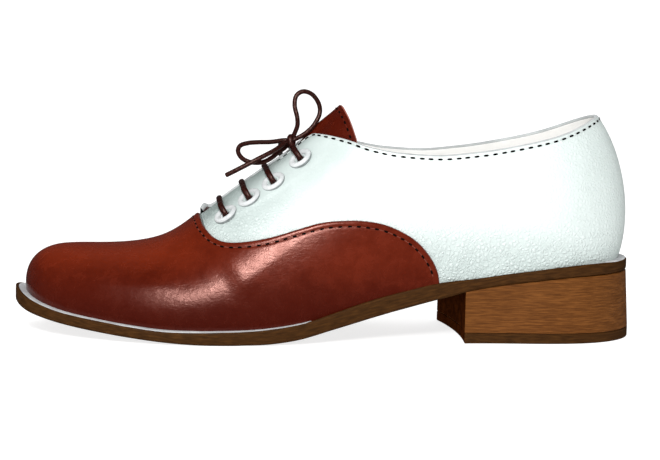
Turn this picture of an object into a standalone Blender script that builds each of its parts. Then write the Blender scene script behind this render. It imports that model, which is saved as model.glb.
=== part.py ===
"""Two-tone lace-up oxford shoe for the left foot.

The toe points to -X, the outer side to -Y, and the shoe stands on z = 0.
Sizes are in millimetres and turn into metres where a mesh is made.
"""

from collections import namedtuple

import bmesh
import bpy
import numpy as np
from mathutils import Matrix, Vector

MM = 0.001

# Driving sizes of the shoe
WALL = 1.9              # leather and lining of the quarters
VAMP_THICK = 1.1        # brown leather laid over the forepart
GAP = 0.3               # air left between pieces that touch
WELT_THICK = 1.2
WELT_STEP = 0.5         # how far the sole edge stands out past the welt
SOLE_EDGE_ROUND = 1.2   # rounding of the sole's lower edge
INSOLE_THICK = 2.6
INSOLE_CLEAR = 0.5      # air between insole and wall
HEEL_BREAST_X = 57.0    # front face of the heel
HEEL_BREAST_HOLLOW = 2.2
HEEL_INSET = 0.4        # heel stands this far inside the sole edge at its top
HEEL_FLARE = 0.4        # and this much wider at the floor
LIFT_THICK = 4.4
THROAT_X = -55.0        # where the facings start on the ridge
FACING_END_X = 10.0     # past this the collar is open anyway
FACING_HALF_GAP = 3.8   # half of the slit between the facings
TONGUE_THICK = 1.6
TONGUE_CLEAR = 1.3      # air between tongue and quarters
TONGUE_FRONT_X = -65.0  # tongue's hidden front end, on the ridge
TONGUE_END_X = 1.9      # tongue's free top end, on the ridge
TONGUE_LOW_SHARE = 0.66 # side edge of the tongue, as a share of each rib
EYELET_RADIUS = 5.6
EYELET_HOLE = 2.4
EYELET_HEIGHT = 1.4
EYELET_RIM = ((0.0, 0.0), (0.0, 0.6), (0.3, 1.0), (0.7, 1.0), (1.0, 0.5), (1.0, 0.0))   # across, rise
EYELET_STATIONS = (-46.6, -37.0, -27.2, -15.6)   # on the ridge
EYELET_FROM_EDGE = (14.6, 14.4, 14.2, 12.2)      # ring centre to facing edge
LACE_RADIUS = 1.05

# Mesh fineness
WELD = 0.02             # points closer than this are one
UPPER_COLUMNS = 84
UPPER_ROWS = 11
ROW_SNAP = 0.012        # rows this close to the vamp's edge move onto it
PLACE_SNAP = 0.002      # and ribs this close to its ends are left out
THROAT_RIBS = (0.0, 0.008, 0.016)   # extra ribs where the vamp's edge is steep
RIB_CLEAR = 0.007       # even ribs this close to an extra one are left out
SOLE_RUNGS = 37
HEEL_RUNGS = 14
HEEL_ACROSS = 5
TONGUE_RIBS = 14
TONGUE_SIDE_ROWS = 6
EYELET_SIDES = 16
PUNCH_SIDES = 12
PUNCH_DEPTH = 12.0

# Sections of the last, toe to heel. x, lateral and medial lie on the feather line;
# top is the ridge that each rib reaches; heading is the way the rib faces (0 toe, 180 heel);
# out and rise lean the rib at its foot, and reach is how flat it arrives at the ridge.
Section = namedtuple("Section", "name x lateral medial top_x top_y top_z heading out rise reach")
SECTIONS = (
    Section("toe tip", -127.9, 2.5, 2.5, -108.5, 2.5, 35.3, 0, 2.0, 14.0, 12.5),
    Section("toe corner", -123.8, -11.5, 15.5, -107.0, 2.5, 35.3, 32, 1.8, 14.0, 15.5),
    Section("toe shoulder", -112.0, -23.0, 26.0, -102.0, 2.4, 35.4, 60, 1.8, 13.5, 19.0),
    Section("toe box", -92.0, -32.0, 33.8, -91.0, 2.0, 35.6, 78, 2.0, 13.5, 23.0),
    Section("tread", -67.0, -37.4, 38.0, -71.0, 1.5, 39.2, 88, 2.5, 15.0, 26.0),
    Section("ball", -39.0, -38.4, 37.6, -52.0, 1.0, 52.3, 90, 3.0, 18.0, 29.0),
    Section("instep", -11.0, -36.8, 33.2, -30.0, 0.4, 69.2, 90, 4.0, 24.0, 30.0),
    Section("waist", 17.0, -33.8, 28.4, -8.5, 0.0, 87.4, 90, 5.0, 28.0, 28.0),
    Section("shank", 46.0, -31.0, 26.8, 14.0, 0.0, 110.5, 90, 5.0, 30.0, 25.0),
    Section("heel front", 72.5, -29.4, 27.6, 44.0, 0.0, 115.0, 90, 5.0, 30.0, 25.0),
    Section("heel seat", 97.0, -28.2, 27.2, 70.0, 0.0, 113.5, 100, 6.0, 28.0, 24.0),
    Section("heel corner", 119.3, -19.8, 19.8, 88.0, 0.0, 110.8, 135, 8.0, 27.5, 27.0),
    Section("back", 130.2, 0.0, 0.0, 94.0, 0.0, 110.0, 180, 8.4, 27.4, 29.8),
)

# Side-view curves as (x, value) pairs, toe to heel
GROUND = ((-134, 12.6), (-127, 9.4), (-117, 7.0), (-97, 4.0), (-77, 1.7), (-62, 0.0), (-33, 0.0),
          (-14, 2.6), (1, 7.2), (29, 15.0), (57, 21.9), (81, 25.7), (110, 28.6), (134, 29.4))
SOLE_THICK = ((-134, 5.2), (-123, 4.2), (-109, 3.5), (-74, 3.4), (-57, 4.0), (-34, 4.5), (21, 4.4),
              (46, 4.0), (67, 2.9), (85, 3.0), (98, 3.3), (120, 3.9), (134, 4.2))
SOLE_MARGIN = ((-134, 6.1), (-100, 5.4), (-54, 5.2), (-11, 3.6), (17, 2.3), (46, 1.2),
               (72, 1.3), (97, 1.8), (120, 3.0), (131, 3.8))
TOPLINE = ((-11, 87.0), (-4, 86.8), (5, 85.3), (15, 82.4), (28, 80.3), (43, 79.6), (62, 81.4),
           (79, 84.4), (97, 88.8), (116, 96.7), (122, 99.5))
VAMP_EDGE = ((-57.5, 50.6), (-54, 47.0), (-49, 42.4), (-44, 40.8), (-39, 41.2), (-29, 43.0),
             (-14, 47.8), (-1, 51.2), (9, 51.8), (19, 50.8), (28, 47.8), (35, 43.6), (41, 37.2),
             (44.5, 31.2), (46.3, 25.6))
VAMP_END_X = 45.6       # feather line place where the vamp runs out
VAMP_LOW_SHARE = 0.02   # keeps the vamp's lower edge off the welt

# Height of a lace bar's centre over the leather, by distance from the eyelet's centre
BAR_HEIGHT = ((0, 0.9), (1.2, 2.3), (2.4, 3.1), (4.6, 3.5), (7.4, 2.8), (11.0, 1.6), (14.0, 1.3),
              (19.0, 0.6))
BAR_POINTS = 15
BAR_SPACING = 2.4       # points along a bar, which bends tightly over its rings
CORD_SPACING = 5.0      # points along the loops and ends

# The bow: knot centre and half sizes, and the routes of its loops and ends
KNOT_CENTRE = (-16.4, -2.4, 82.8)
KNOT_HALF = (2.5, 2.3, 2.1)
LOOP_UP = ((-15.0, -2.9, 86.2), (-13.9, -3.2, 89.6), (-14.1, -3.2, 93.2), (-15.2, -2.2, 98.0),
           (-14.6, -1.4, 102.2), (-11.6, -0.8, 104.2), (-7.6, -0.2, 103.0), (-4.6, 0.0, 99.0),
           (-4.2, -0.4, 94.6), (-6.6, -1.6, 89.9), (-9.4, -2.4, 87.0), (-12.2, -2.8, 85.0))
LOOP_FRONT = ((-19.4, -1.8, 83.0), (-25.0, -2.6, 82.2), (-30.6, -3.4, 82.0), (-35.0, -4.2, 81.6),
              (-38.4, -5.4, 80.5), (-39.4, -6.8, 78.2), (-38.0, -8.6, 75.6), (-35.0, -10.0, 74.0),
              (-31.4, -10.6, 73.6), (-28.0, -10.0, 74.2), (-24.6, -8.0, 76.0), (-21.8, -5.6, 78.2),
              (-19.2, -3.9, 79.9))
END_FRONT = ((-18.6, -5.4, 82.4), (-21.0, -8.6, 81.0), (-24.6, -11.6, 78.8), (-31.0, -13.6, 75.5),
             (-38.6, -14.0, 71.4), (-44.4, -13.6, 68.3))
END_FAR = ((-18.6, 0.6, 82.6), (-20.0, 4.6, 82.2), (-20.4, 8.8, 80.4), (-20.0, 13.2, 77.4),
           (-19.2, 17.4, 73.6), (-18.4, 20.9, 69.5), (-17.8, 24.1, 65.1))

# Colours as seen, red, green and blue from 0 to 255, with roughness
VAMP_BROWN = ((104, 34, 22), 0.3)
QUARTER_WHITE = ((236, 242, 240), 0.45)
SOLE_BROWN = ((78, 48, 24), 0.5)
HEEL_BROWN = ((116, 68, 32), 0.5)
WELT_WHITE = ((222, 222, 220), 0.5)
INSOLE_TAN = ((206, 190, 165), 0.6)
EYELET_WHITE = ((240, 240, 240), 0.2)
LACE_BROWN = ((42, 22, 18), 0.7)


def profile(table):
    """A smooth curve through (x, value) pairs that never overshoots them."""
    x, y = np.array(table, float).T
    step = np.diff(x)
    rise = np.diff(y) / step
    slope = np.zeros_like(x)
    same_way = rise[:-1] * rise[1:] > 0
    mean = 2.0 * rise[:-1] * rise[1:] / np.where(same_way, rise[:-1] + rise[1:], 1.0)
    slope[1:-1] = np.where(same_way, mean, 0.0)
    slope[0], slope[-1] = rise[0], rise[-1]

    def at(place):
        place = np.clip(place, x[0], x[-1])
        i = np.clip(np.searchsorted(x, place) - 1, 0, len(step) - 1)
        b = (place - x[i]) / step[i]
        a = 1.0 - b
        ends = y[i] * a * a * (1 + 2 * b) + y[i + 1] * b * b * (1 + 2 * a)
        return ends + step[i] * a * b * (slope[i] * a - slope[i + 1] * b)

    return at


def closed_curve(knots, values, period):
    """A smooth closed curve through the values, with even bending at every knot."""
    count = len(knots)
    ends = np.append(knots, period)
    step = np.diff(ends)
    rise = (np.roll(values, -1) - values) / step
    system = np.zeros((count, count))
    for i in range(count):
        system[i, i - 1] += step[i - 1]
        system[i, i] += 2.0 * (step[i - 1] + step[i])
        system[i, (i + 1) % count] += step[i]
    bend = np.linalg.solve(system, 6.0 * (rise - np.roll(rise, 1)))

    def at(place):
        place = np.mod(place, period)
        i = np.clip(np.searchsorted(ends, place, side="right") - 1, 0, count - 1)
        j = (i + 1) % count
        a = (ends[i + 1] - place) / step[i]
        b = 1.0 - a
        arch = ((a ** 3 - a) * bend[i] + (b ** 3 - b) * bend[j]) * step[i] ** 2 / 6.0
        return a * values[i] + b * values[j] + arch

    return at


def last_curves():
    """The section table as closed curves round the foot: 0 toe, 1 heel, 2 toe again."""
    rows = len(SECTIONS)
    half_width = [(row.medial - row.lateral) / 2 for row in SECTIONS]
    chord = np.hypot(np.diff([row.x for row in SECTIONS]), np.diff(half_width))
    outer = np.append(0.0, np.cumsum(chord)) / chord.sum()
    knots = np.append(outer, 2.0 - outer[-2:0:-1])
    order = list(range(rows)) + list(range(rows - 2, 0, -1))
    curves = {}
    for column in ("x", "top_x", "top_y", "top_z", "out", "rise", "reach"):
        values = np.array([getattr(SECTIONS[r], column) for r in order], float)
        curves[column] = closed_curve(knots, values, 2.0)
    sides = [SECTIONS[r].lateral if k < rows else SECTIONS[r].medial for k, r in enumerate(order)]
    curves["y"] = closed_curve(knots, np.array(sides, float), 2.0)
    turn = [SECTIONS[r].heading if k < rows else 360 - SECTIONS[r].heading for k, r in enumerate(order)]
    curves["turn"] = closed_curve(knots, np.array(turn) - 180.0 * knots, 2.0)
    return curves


LAST = last_curves()


def place_of(column, value):
    """Place on the outer half of the loop where a column of the table has this value."""
    places = np.linspace(0.0, 1.0, 2001)
    return float(np.interp(value, LAST[column](places), places))


THROAT = place_of("top_x", THROAT_X)
ground = profile(GROUND)
sole_thick = profile(SOLE_THICK)
sole_margin = profile(SOLE_MARGIN)
topline = profile(TOPLINE)
vamp_edge = profile(VAMP_EDGE)
bar_height = profile(BAR_HEIGHT)


def sole_top(x):
    return ground(x) + sole_thick(x)


def welt_top(x):
    return sole_top(x) + GAP + WELT_THICK


def skin(place, share):
    """Outer face of the quarters: place goes round the foot, share up from the feather line."""
    place, share = np.broadcast_arrays(np.asarray(place, float), np.asarray(share, float))
    heading = np.radians(LAST["turn"](place) + 180.0 * np.mod(place, 2.0))
    level = np.zeros_like(place)
    outward = np.stack([-np.cos(heading), -np.sin(heading), level], -1)
    x = LAST["x"](place)
    foot = np.stack([x, LAST["y"](place), welt_top(x) + GAP], -1)
    ridge = np.stack([LAST["top_x"](place), LAST["top_y"](place), LAST["top_z"](place)], -1)
    lean = outward * LAST["out"](place)[..., None]
    lean[..., 2] += LAST["rise"](place)
    low = foot + lean
    high = ridge + outward * LAST["reach"](place)[..., None]
    t = share[..., None]
    a = 1.0 - t
    return a ** 3 * foot + 3 * a * a * t * low + 3 * a * t * t * high + t ** 3 * ridge


def skin_normal(place, share):
    """Unit vector out of the leather."""
    small = 1e-4
    share = np.clip(share, small, 1.0 - small)
    along = skin(place + small, share) - skin(place - small, share)
    up = skin(place, share + small) - skin(place, share - small)
    normal = np.cross(along, up)
    return normal / np.linalg.norm(normal, axis=-1, keepdims=True)


def offset_skin(place, share, height):
    return skin(place, share) + skin_normal(place, share) * height


def first_share(place, past):
    """Share at which a rib first satisfies past(points), or 1 if it never does."""
    shares = np.linspace(0.0, 1.0, 201)
    hits = np.flatnonzero(past(skin(place, shares)))
    if len(hits) == 0:
        return 1.0
    high = shares[hits[0]]
    low = shares[max(hits[0] - 1, 0)]
    for _ in range(14):
        middle = (low + high) / 2
        if past(skin(place, np.array([middle])))[0]:
            high = middle
        else:
            low = middle
    return high


def quarter_share(place):
    """Share at which the quarter ends: at the topline or at its facing edge."""
    behind_throat = THROAT + PLACE_SNAP < np.mod(place, 2.0) < 2.0 - THROAT - PLACE_SNAP
    open_here = behind_throat and LAST["top_x"](place) < FACING_END_X
    centre = LAST["top_y"](place)

    def past(points):
        at_facing = (np.abs(points[:, 1] - centre) < FACING_HALF_GAP) & open_here
        return (points[:, 2] > topline(points[:, 0])) | at_facing

    return first_share(place, past)


def vamp_share(place):
    """Share at which the vamp ends, 1 where it closes over the toe."""
    return first_share(place, lambda points: points[:, 2] > vamp_edge(points[:, 0]))


def sole_edge(place, grow):
    """Feather line grown outwards in plan, as x and y."""
    small = 1e-4
    along_x = LAST["x"](place + small) - LAST["x"](place - small)
    along_y = LAST["y"](place + small) - LAST["y"](place - small)
    length = np.hypot(along_x, along_y)
    x = LAST["x"](place) + grow * along_y / length
    y = LAST["y"](place) - grow * along_x / length
    return np.stack([x, y], -1)


def rungs(places, grow, across):
    """Plan points between the outer and the inner edge at each place."""
    outer = sole_edge(places, grow)
    inner = sole_edge(2.0 - places, grow)
    share = np.linspace(0.0, 1.0, across)[None, :, None]
    return outer[:, None] * (1 - share) + inner[:, None] * share


def raised(plan, height):
    """Plan points with z from a height function of x."""
    return np.concatenate([plan, height(plan[..., 0])[..., None]], -1)


def material(name, look):
    """A leather, wood or cord surface of one colour."""
    colour, roughness = look
    made = bpy.data.materials.new(name)
    made.use_nodes = True
    shader = made.node_tree.nodes["Principled BSDF"]
    linear = [((c / 255 + 0.055) / 1.055) ** 2.4 for c in colour]
    shader.inputs["Base Color"].default_value = (*linear, 1.0)
    shader.inputs["Roughness"].default_value = roughness
    shader.inputs["Metallic"].default_value = 0.0
    return made


def mesh_object(name, points, faces, look, smooth_angle=35.0):
    """An object from points in millimetres, with coinciding points made one."""
    shape = bmesh.new()
    corners = [shape.verts.new(Vector(p) * MM) for p in points]
    for face in faces:
        shape.faces.new([corners[i] for i in face])
    bmesh.ops.remove_doubles(shape, verts=shape.verts, dist=WELD * MM)
    mesh = bpy.data.meshes.new(name)
    shape.to_mesh(mesh)
    shape.free()
    mesh.shade_smooth()
    mesh.set_sharp_from_angle(angle=np.radians(smooth_angle))
    mesh.materials.append(look)
    made = bpy.data.objects.new(name, mesh)
    bpy.context.scene.collection.objects.link(made)
    return made


def turn_outwards(made):
    """Points a closed mesh's faces out."""
    shape = bmesh.new()
    shape.from_mesh(made.data)
    bmesh.ops.recalc_face_normals(shape, faces=shape.faces)
    shape.to_mesh(made.data)
    shape.free()
    return made


def slab(name, layers, look):
    """A closed solid through layers of rungs, from the lowest to the highest."""
    rows, across = layers[0].shape[:2]
    size = rows * across
    index = np.arange(size).reshape(rows, across)
    rim = np.concatenate([index[:, 0], index[-1, 1:], index[-2::-1, -1], index[0, -2:0:-1]])
    faces = []
    for i in range(rows - 1):
        for j in range(across - 1):
            cell = [index[i, j], index[i + 1, j], index[i + 1, j + 1], index[i, j + 1]]
            faces.append(cell)
            faces.append([c + size * (len(layers) - 1) for c in reversed(cell)])
    for level in range(len(layers) - 1):
        for a, b in zip(rim, np.roll(rim, -1)):
            low = level * size
            high = low + size
            faces.append([a + low, a + high, b + high, b + low])
    points = np.concatenate([layer.reshape(-1, 3) for layer in layers])
    return turn_outwards(mesh_object(name, points, faces, look))


def ring(name, loops, look):
    """A closed ring whose cross-section is given by a few loops."""
    count = len(loops[0])
    faces = []
    for k in range(len(loops)):
        other = (k + 1) % len(loops)
        for i in range(count):
            j = (i + 1) % count
            faces.append([k * count + i, k * count + j, other * count + j, other * count + i])
    return turn_outwards(mesh_object(name, np.concatenate(loops), faces, look))


def grid_faces(count, rows, start, closed):
    """Four-sided faces between neighbouring columns of points."""
    faces = []
    for j in range(count if closed else count - 1):
        here = start + j * rows
        there = start + (j + 1) % count * rows
        for i in range(rows - 1):
            faces.append([here + i, there + i, there + i + 1, here + i + 1])
    return faces


def sheet(name, patches, look, thick, side, closed=False):
    """A leather sheet of one or more patches, each in columns of points, thickened to one side."""
    patches = [np.asarray(columns) for columns in patches]
    faces = []
    start = 0
    for columns in patches:
        count, rows = columns.shape[:2]
        faces += grid_faces(count, rows, start, closed)
        start += count * rows
    points = np.concatenate([columns.reshape(-1, 3) for columns in patches])
    made = mesh_object(name, points, faces, look, 40.0)
    thicken = made.modifiers.new("wall", "SOLIDIFY")
    thicken.thickness = thick * MM
    thicken.offset = side
    thicken.use_rim = True
    return made


def make_outsole(look):
    """Leather sole with its arch, toe spring and a rounded lower edge."""
    places = np.linspace(0.0, 1.0, SOLE_RUNGS)
    margin = sole_margin(LAST["x"](places))
    under = raised(rungs(places, margin - SOLE_EDGE_ROUND, 2), ground)
    side = raised(rungs(places, margin, 2), lambda x: ground(x) + SOLE_EDGE_ROUND)
    top = raised(rungs(places, margin, 2), sole_top)
    return slab("outsole", (under, side, top), look)


def make_welt(look):
    """White strip that the upper stands on, showing past it round the forepart."""
    places = np.linspace(0.0, 2.0, 2 * (SOLE_RUNGS - 1), endpoint=False)
    outer = sole_edge(places, sole_margin(LAST["x"](places)) - WELT_STEP)
    inner = sole_edge(places, -WALL)
    lower = lambda x: sole_top(x) + GAP
    loops = (raised(outer, lower), raised(outer, welt_top), raised(inner, welt_top), raised(inner, lower))
    return ring("welt", loops, look)


def make_insole(look):
    """Footbed inside the wall."""
    places = np.linspace(0.0, 1.0, SOLE_RUNGS)
    plan = rungs(places, np.full(SOLE_RUNGS, -WALL - INSOLE_CLEAR), 2)
    lower = raised(plan, lambda x: sole_top(x) + GAP)
    upper = raised(plan, lambda x: sole_top(x) + GAP + INSOLE_THICK)
    return slab("insole", (lower, upper), look)


def heel_plan(inset):
    """Rungs of the heel from its hollow breast to the back."""
    start = place_of("x", HEEL_BREAST_X)
    places = np.linspace(start, 1.0, HEEL_RUNGS)
    plan = rungs(places, sole_margin(LAST["x"](places)) - inset, HEEL_ACROSS)
    across = np.linspace(-1.0, 1.0, HEEL_ACROSS)
    plan[0, :, 0] += HEEL_BREAST_HOLLOW * (1 - across ** 2)
    return plan


def make_heel(look):
    """Stacked heel between the top lift and the sole."""
    lower = raised(heel_plan(HEEL_INSET - HEEL_FLARE), lambda x: np.full_like(x, LIFT_THICK + GAP))
    upper = raised(heel_plan(HEEL_INSET), lambda x: ground(x) - GAP)
    return slab("heel_block", (lower, upper), look)


def make_lift(look):
    """Wearing layer that stands on the floor."""
    plan = heel_plan(HEEL_INSET - HEEL_FLARE)
    lower = raised(plan, np.zeros_like)
    upper = raised(plan, lambda x: np.full_like(x, LIFT_THICK))
    return slab("heel_top_lift", (lower, upper), look)


def upper_places():
    """Places of the upper's ribs round the foot, closer together just behind the throat."""
    even = np.linspace(0.0, 2.0, UPPER_COLUMNS, endpoint=False)
    extra = THROAT + np.array(THROAT_RIBS)
    extra = np.concatenate([extra, 2.0 - extra])
    clear = np.abs(even[:, None] - extra).min(1) > RIB_CLEAR
    return np.sort(np.concatenate([even[clear], extra]))


def upper_shares(place):
    """Rows of the upper's mesh up one rib."""
    return np.linspace(0.0, quarter_share(place), UPPER_ROWS)


def make_upper(look):
    """Both quarters and the layer under the vamp as one wall, open at throat, collar and sole."""
    columns = [skin(place, upper_shares(place)) for place in upper_places()]
    upper = sheet("upper", [columns], look, WALL, -1.0, closed=True)
    punch_eyelets(upper)
    return upper


def vamp_column(place, edge):
    """Points up one rib on the upper's own rows, with rows past the edge drawn back to it."""
    shares = upper_shares(place)
    nearest = shares[np.abs(shares - edge).argmin()]
    if abs(nearest - edge) < ROW_SNAP:
        edge = nearest
    shares = np.clip(shares, VAMP_LOW_SHARE, max(edge, VAMP_LOW_SHARE))
    return offset_skin(place, shares, GAP)


def make_vamp(look):
    """Brown overlay: a middle that closes over the toe and a wing along each side."""
    end = place_of("x", VAMP_END_X)
    ribs = upper_places()
    toe = np.concatenate([ribs[ribs >= 2.0 - THROAT] - 2.0, ribs[ribs <= THROAT]])
    wing = np.append(ribs[(ribs >= THROAT) & (ribs < end - PLACE_SNAP)], end)
    middle = [vamp_column(place, 1.0) for place in toe]
    outer = [vamp_column(place, vamp_share(place)) for place in wing]
    inner = [vamp_column(-place, vamp_share(-place)) for place in wing[::-1]]
    return sheet("vamp", [middle, outer, inner], look, VAMP_THICK, 1.0)


def make_tongue(look):
    """Tongue under the facings, rising past the collar."""
    start = place_of("top_x", TONGUE_FRONT_X)
    end = place_of("top_x", TONGUE_END_X)
    shares = np.linspace(TONGUE_LOW_SHARE, 1.0, TONGUE_SIDE_ROWS)
    depth = -WALL - TONGUE_CLEAR
    columns = []
    for place in np.linspace(start, end, TONGUE_RIBS):
        outer = offset_skin(place, shares, depth)
        inner = offset_skin(2.0 - place, shares[-2::-1], depth)
        columns.append(np.concatenate([outer, inner]))
    return sheet("tongue", [columns], look, TONGUE_THICK, -1.0)


def rib_lengths(place):
    """Shares down one rib from the facing edge, with their distance from it."""
    shares = np.linspace(quarter_share(place), 0.0, 401)
    run = np.linalg.norm(np.diff(skin(place, shares), axis=0), axis=1)
    return shares, np.append(0.0, np.cumsum(run))


def eyelet_seat(number, outer_side):
    """Place and share of an eyelet's centre."""
    place = place_of("top_x", EYELET_STATIONS[number])
    if not outer_side:
        place = 2.0 - place
    shares, length = rib_lengths(place)
    return place, float(np.interp(EYELET_FROM_EDGE[number], length, shares))


def eyelet_axes(place, share):
    """Centre on the leather and the way out of it, as vectors."""
    centre = Vector(skin(place, share)) * MM
    return centre, Vector(skin_normal(place, share))


def punch_eyelets(upper):
    """Cuts the eyelet holes through the wall."""
    for side in (True, False):
        for number in range(len(EYELET_STATIONS)):
            centre, out = eyelet_axes(*eyelet_seat(number, side))
            bpy.ops.mesh.primitive_cylinder_add(vertices=PUNCH_SIDES, radius=EYELET_HOLE * MM,
                                                depth=PUNCH_DEPTH * MM)
            punch = bpy.context.object
            punch.name = "punch"
            punch.location = centre
            punch.rotation_euler = out.to_track_quat("Z", "Y").to_euler()
            punch.hide_render = True
            punch.display_type = "WIRE"
            cut = upper.modifiers.new("eyelet hole", "BOOLEAN")
            cut.operation = "DIFFERENCE"
            cut.object = punch


def make_eyelet_mesh(look):
    """A domed ring round a hole, lying on its seat."""
    turns = np.linspace(0.0, 2 * np.pi, EYELET_SIDES, endpoint=False)
    loops = []
    for across, rise in EYELET_RIM:
        radius = EYELET_HOLE + across * (EYELET_RADIUS - EYELET_HOLE)
        height = np.full(EYELET_SIDES, GAP + rise * EYELET_HEIGHT)
        loops.append(np.stack([radius * np.cos(turns), radius * np.sin(turns), height], -1))
    return ring("eyelet", loops, look)


def make_eyelets(look):
    """White rings along both facings."""
    pattern = make_eyelet_mesh(look)
    for name, side in (("lateral", True), ("medial", False)):
        for number in range(len(EYELET_STATIONS)):
            centre, out = eyelet_axes(*eyelet_seat(number, side))
            made = bpy.data.objects.new(f"eyelet_{name}_{number + 1}", pattern.data)
            made.location = centre
            made.rotation_euler = out.to_track_quat("Z", "Y").to_euler()
            bpy.context.scene.collection.objects.link(made)
    bpy.data.objects.remove(pattern)


def smooth_route(points, spacing):
    """Evenly spaced points on a smooth curve through a route."""
    points = np.array(points, float)
    whole = np.concatenate([[2 * points[0] - points[1]], points, [2 * points[-1] - points[-2]]])
    t = np.linspace(0.0, 1.0, 12, endpoint=False)[:, None]
    fine = []
    for p, q, r, s in zip(whole, whole[1:], whole[2:], whole[3:]):
        bend = (2 * p - 5 * q + 4 * r - s) * t ** 2 + (3 * q - p - 3 * r + s) * t ** 3
        fine.append(0.5 * (2 * q + (r - p) * t + bend))
    fine = np.concatenate(fine + [points[-1:]])
    length = np.append(0.0, np.cumsum(np.linalg.norm(np.diff(fine, axis=0), axis=1)))
    count = max(3, int(round(length[-1] / spacing)) + 1)
    even = np.linspace(0.0, length[-1], count)
    return np.stack([np.interp(even, length, fine[:, axis]) for axis in range(3)], -1)


def cord(name, points, look):
    """A round lace along the points."""
    curve = bpy.data.curves.new(name, "CURVE")
    curve.dimensions = "3D"
    curve.bevel_depth = LACE_RADIUS * MM
    curve.bevel_resolution = 2
    curve.use_fill_caps = True
    spline = curve.splines.new("POLY")
    spline.points.add(len(points) - 1)
    for point, at in zip(spline.points, points):
        point.co = (*(Vector(at) * MM), 1.0)
    curve.materials.append(look)
    made = bpy.data.objects.new(name, curve)
    bpy.context.scene.collection.objects.link(made)
    return made


def half_bar(number, outer_side, count):
    """Centre line of a bar from an eyelet up its rib to the ridge."""
    place, share = eyelet_seat(number, outer_side)
    shares = np.linspace(share, 1.0, count)
    leather = skin(place, shares)
    run = np.linalg.norm(np.diff(leather, axis=0), axis=1)
    from_eyelet = np.append(0.0, np.cumsum(run))
    return leather + skin_normal(place, shares) * bar_height(from_eyelet)[:, None]


def make_bars(look):
    """Straight bars across the throat, the top one tied into the knot."""
    top = len(EYELET_STATIONS) - 1
    for number in range(top):
        outer = half_bar(number, True, BAR_POINTS)
        inner = half_bar(number, False, BAR_POINTS)[-2::-1]
        route = smooth_route(np.concatenate([outer, inner]), BAR_SPACING)
        cord(f"lace_bar_{number + 1}", route, look)
    knot_clear = KNOT_HALF[1] + GAP
    for name, side, sign in (("lateral", True, -1), ("medial", False, 1)):
        route = half_bar(top, side, 3 * BAR_POINTS)
        route = route[sign * (route[:, 1] - KNOT_CENTRE[1]) > knot_clear]
        cord(f"lace_top_{name}", smooth_route(route, BAR_SPACING), look)


def make_bow(look):
    """Knot with two loops and two ends."""
    bpy.ops.mesh.primitive_uv_sphere_add(segments=14, ring_count=9, radius=MM)
    knot = bpy.context.object
    knot.name = "lace_knot"
    knot.data.transform(Matrix.Diagonal((*KNOT_HALF, 1.0)))
    knot.location = Vector(KNOT_CENTRE) * MM
    knot.data.shade_smooth()
    knot.data.materials.append(look)
    routes = {"lace_loop_up": LOOP_UP, "lace_loop_front": LOOP_FRONT,
              "lace_end_front": END_FRONT, "lace_end_far": END_FAR}
    for name, route in routes.items():
        cord(name, smooth_route(route, CORD_SPACING), look)


def clear_scene():
    for old in list(bpy.data.objects):
        bpy.data.objects.remove(old)


def main():
    clear_scene()
    sole = material("sole leather", SOLE_BROWN)
    brown = material("brown leather", VAMP_BROWN)
    lace = material("lace", LACE_BROWN)
    make_outsole(sole)
    make_lift(sole)
    make_heel(material("stacked heel", HEEL_BROWN))
    make_welt(material("welt", WELT_WHITE))
    make_insole(material("insole", INSOLE_TAN))
    make_upper(material("white leather", QUARTER_WHITE))
    make_vamp(brown)
    make_tongue(brown)
    make_eyelets(material("eyelet", EYELET_WHITE))
    make_bars(lace)
    make_bow(lace)


main()
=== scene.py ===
"""Looks of the two-tone oxford shoe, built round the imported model.

Sizes are in millimetres, as in the part's source, and turn into metres where a mesh is made.
The toe points to -X, the outer side to -Y, and the shoe stands on z = 0.
"""

from collections import namedtuple

import bmesh
import bpy
import numpy as np
from mathutils import Matrix, Vector
from mathutils.kdtree import KDTree


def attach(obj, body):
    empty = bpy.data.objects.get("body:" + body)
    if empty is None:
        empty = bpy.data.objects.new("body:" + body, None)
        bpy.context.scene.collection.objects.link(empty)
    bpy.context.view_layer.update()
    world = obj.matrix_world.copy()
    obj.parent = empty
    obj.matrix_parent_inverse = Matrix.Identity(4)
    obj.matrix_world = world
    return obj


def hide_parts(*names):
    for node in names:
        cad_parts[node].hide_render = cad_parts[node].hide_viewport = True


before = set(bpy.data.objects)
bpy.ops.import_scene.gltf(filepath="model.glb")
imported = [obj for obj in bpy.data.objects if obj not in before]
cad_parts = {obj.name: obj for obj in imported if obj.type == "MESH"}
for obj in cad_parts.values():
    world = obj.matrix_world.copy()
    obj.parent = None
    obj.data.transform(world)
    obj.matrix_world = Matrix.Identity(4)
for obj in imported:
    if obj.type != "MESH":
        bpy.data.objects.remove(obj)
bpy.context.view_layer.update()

MM = 0.001

# Camera, fitted to the photograph: angles in degrees, sizes in millimetres
IMAGE_WIDTH = 660
SENSOR = 36.0
FOCAL_PIXELS = 1577.4
AZIMUTH = -5.402
ELEVATION = 6.209
ROLL = 1.5
TARGET = (1.70, 0.0, 44.09)
DISTANCE = 690.0

# Driving sizes, as in the part's source
WALL = 1.9
VAMP_THICK = 1.1
GAP = 0.3
WELT_THICK = 1.2
WELT_STEP = 0.5
INSOLE_THICK = 2.6
INSOLE_CLEAR = 0.5
HEEL_BREAST_X = 57.0
HEEL_BREAST_HOLLOW = 2.2
HEEL_INSET = 0.4
HEEL_FLARE = 0.4
LIFT_THICK = 4.4
THROAT_X = -55.0
FACING_END_X = 10.0
FACING_HALF_GAP = 3.8
TONGUE_THICK = 1.6
TONGUE_CLEAR = 1.3
TONGUE_FRONT_X = -65.0
TONGUE_LOW_SHARE = 0.66
EYELET_STATIONS = (-46.6, -37.0, -27.2, -15.6)
VAMP_END_X = 45.6

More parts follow.
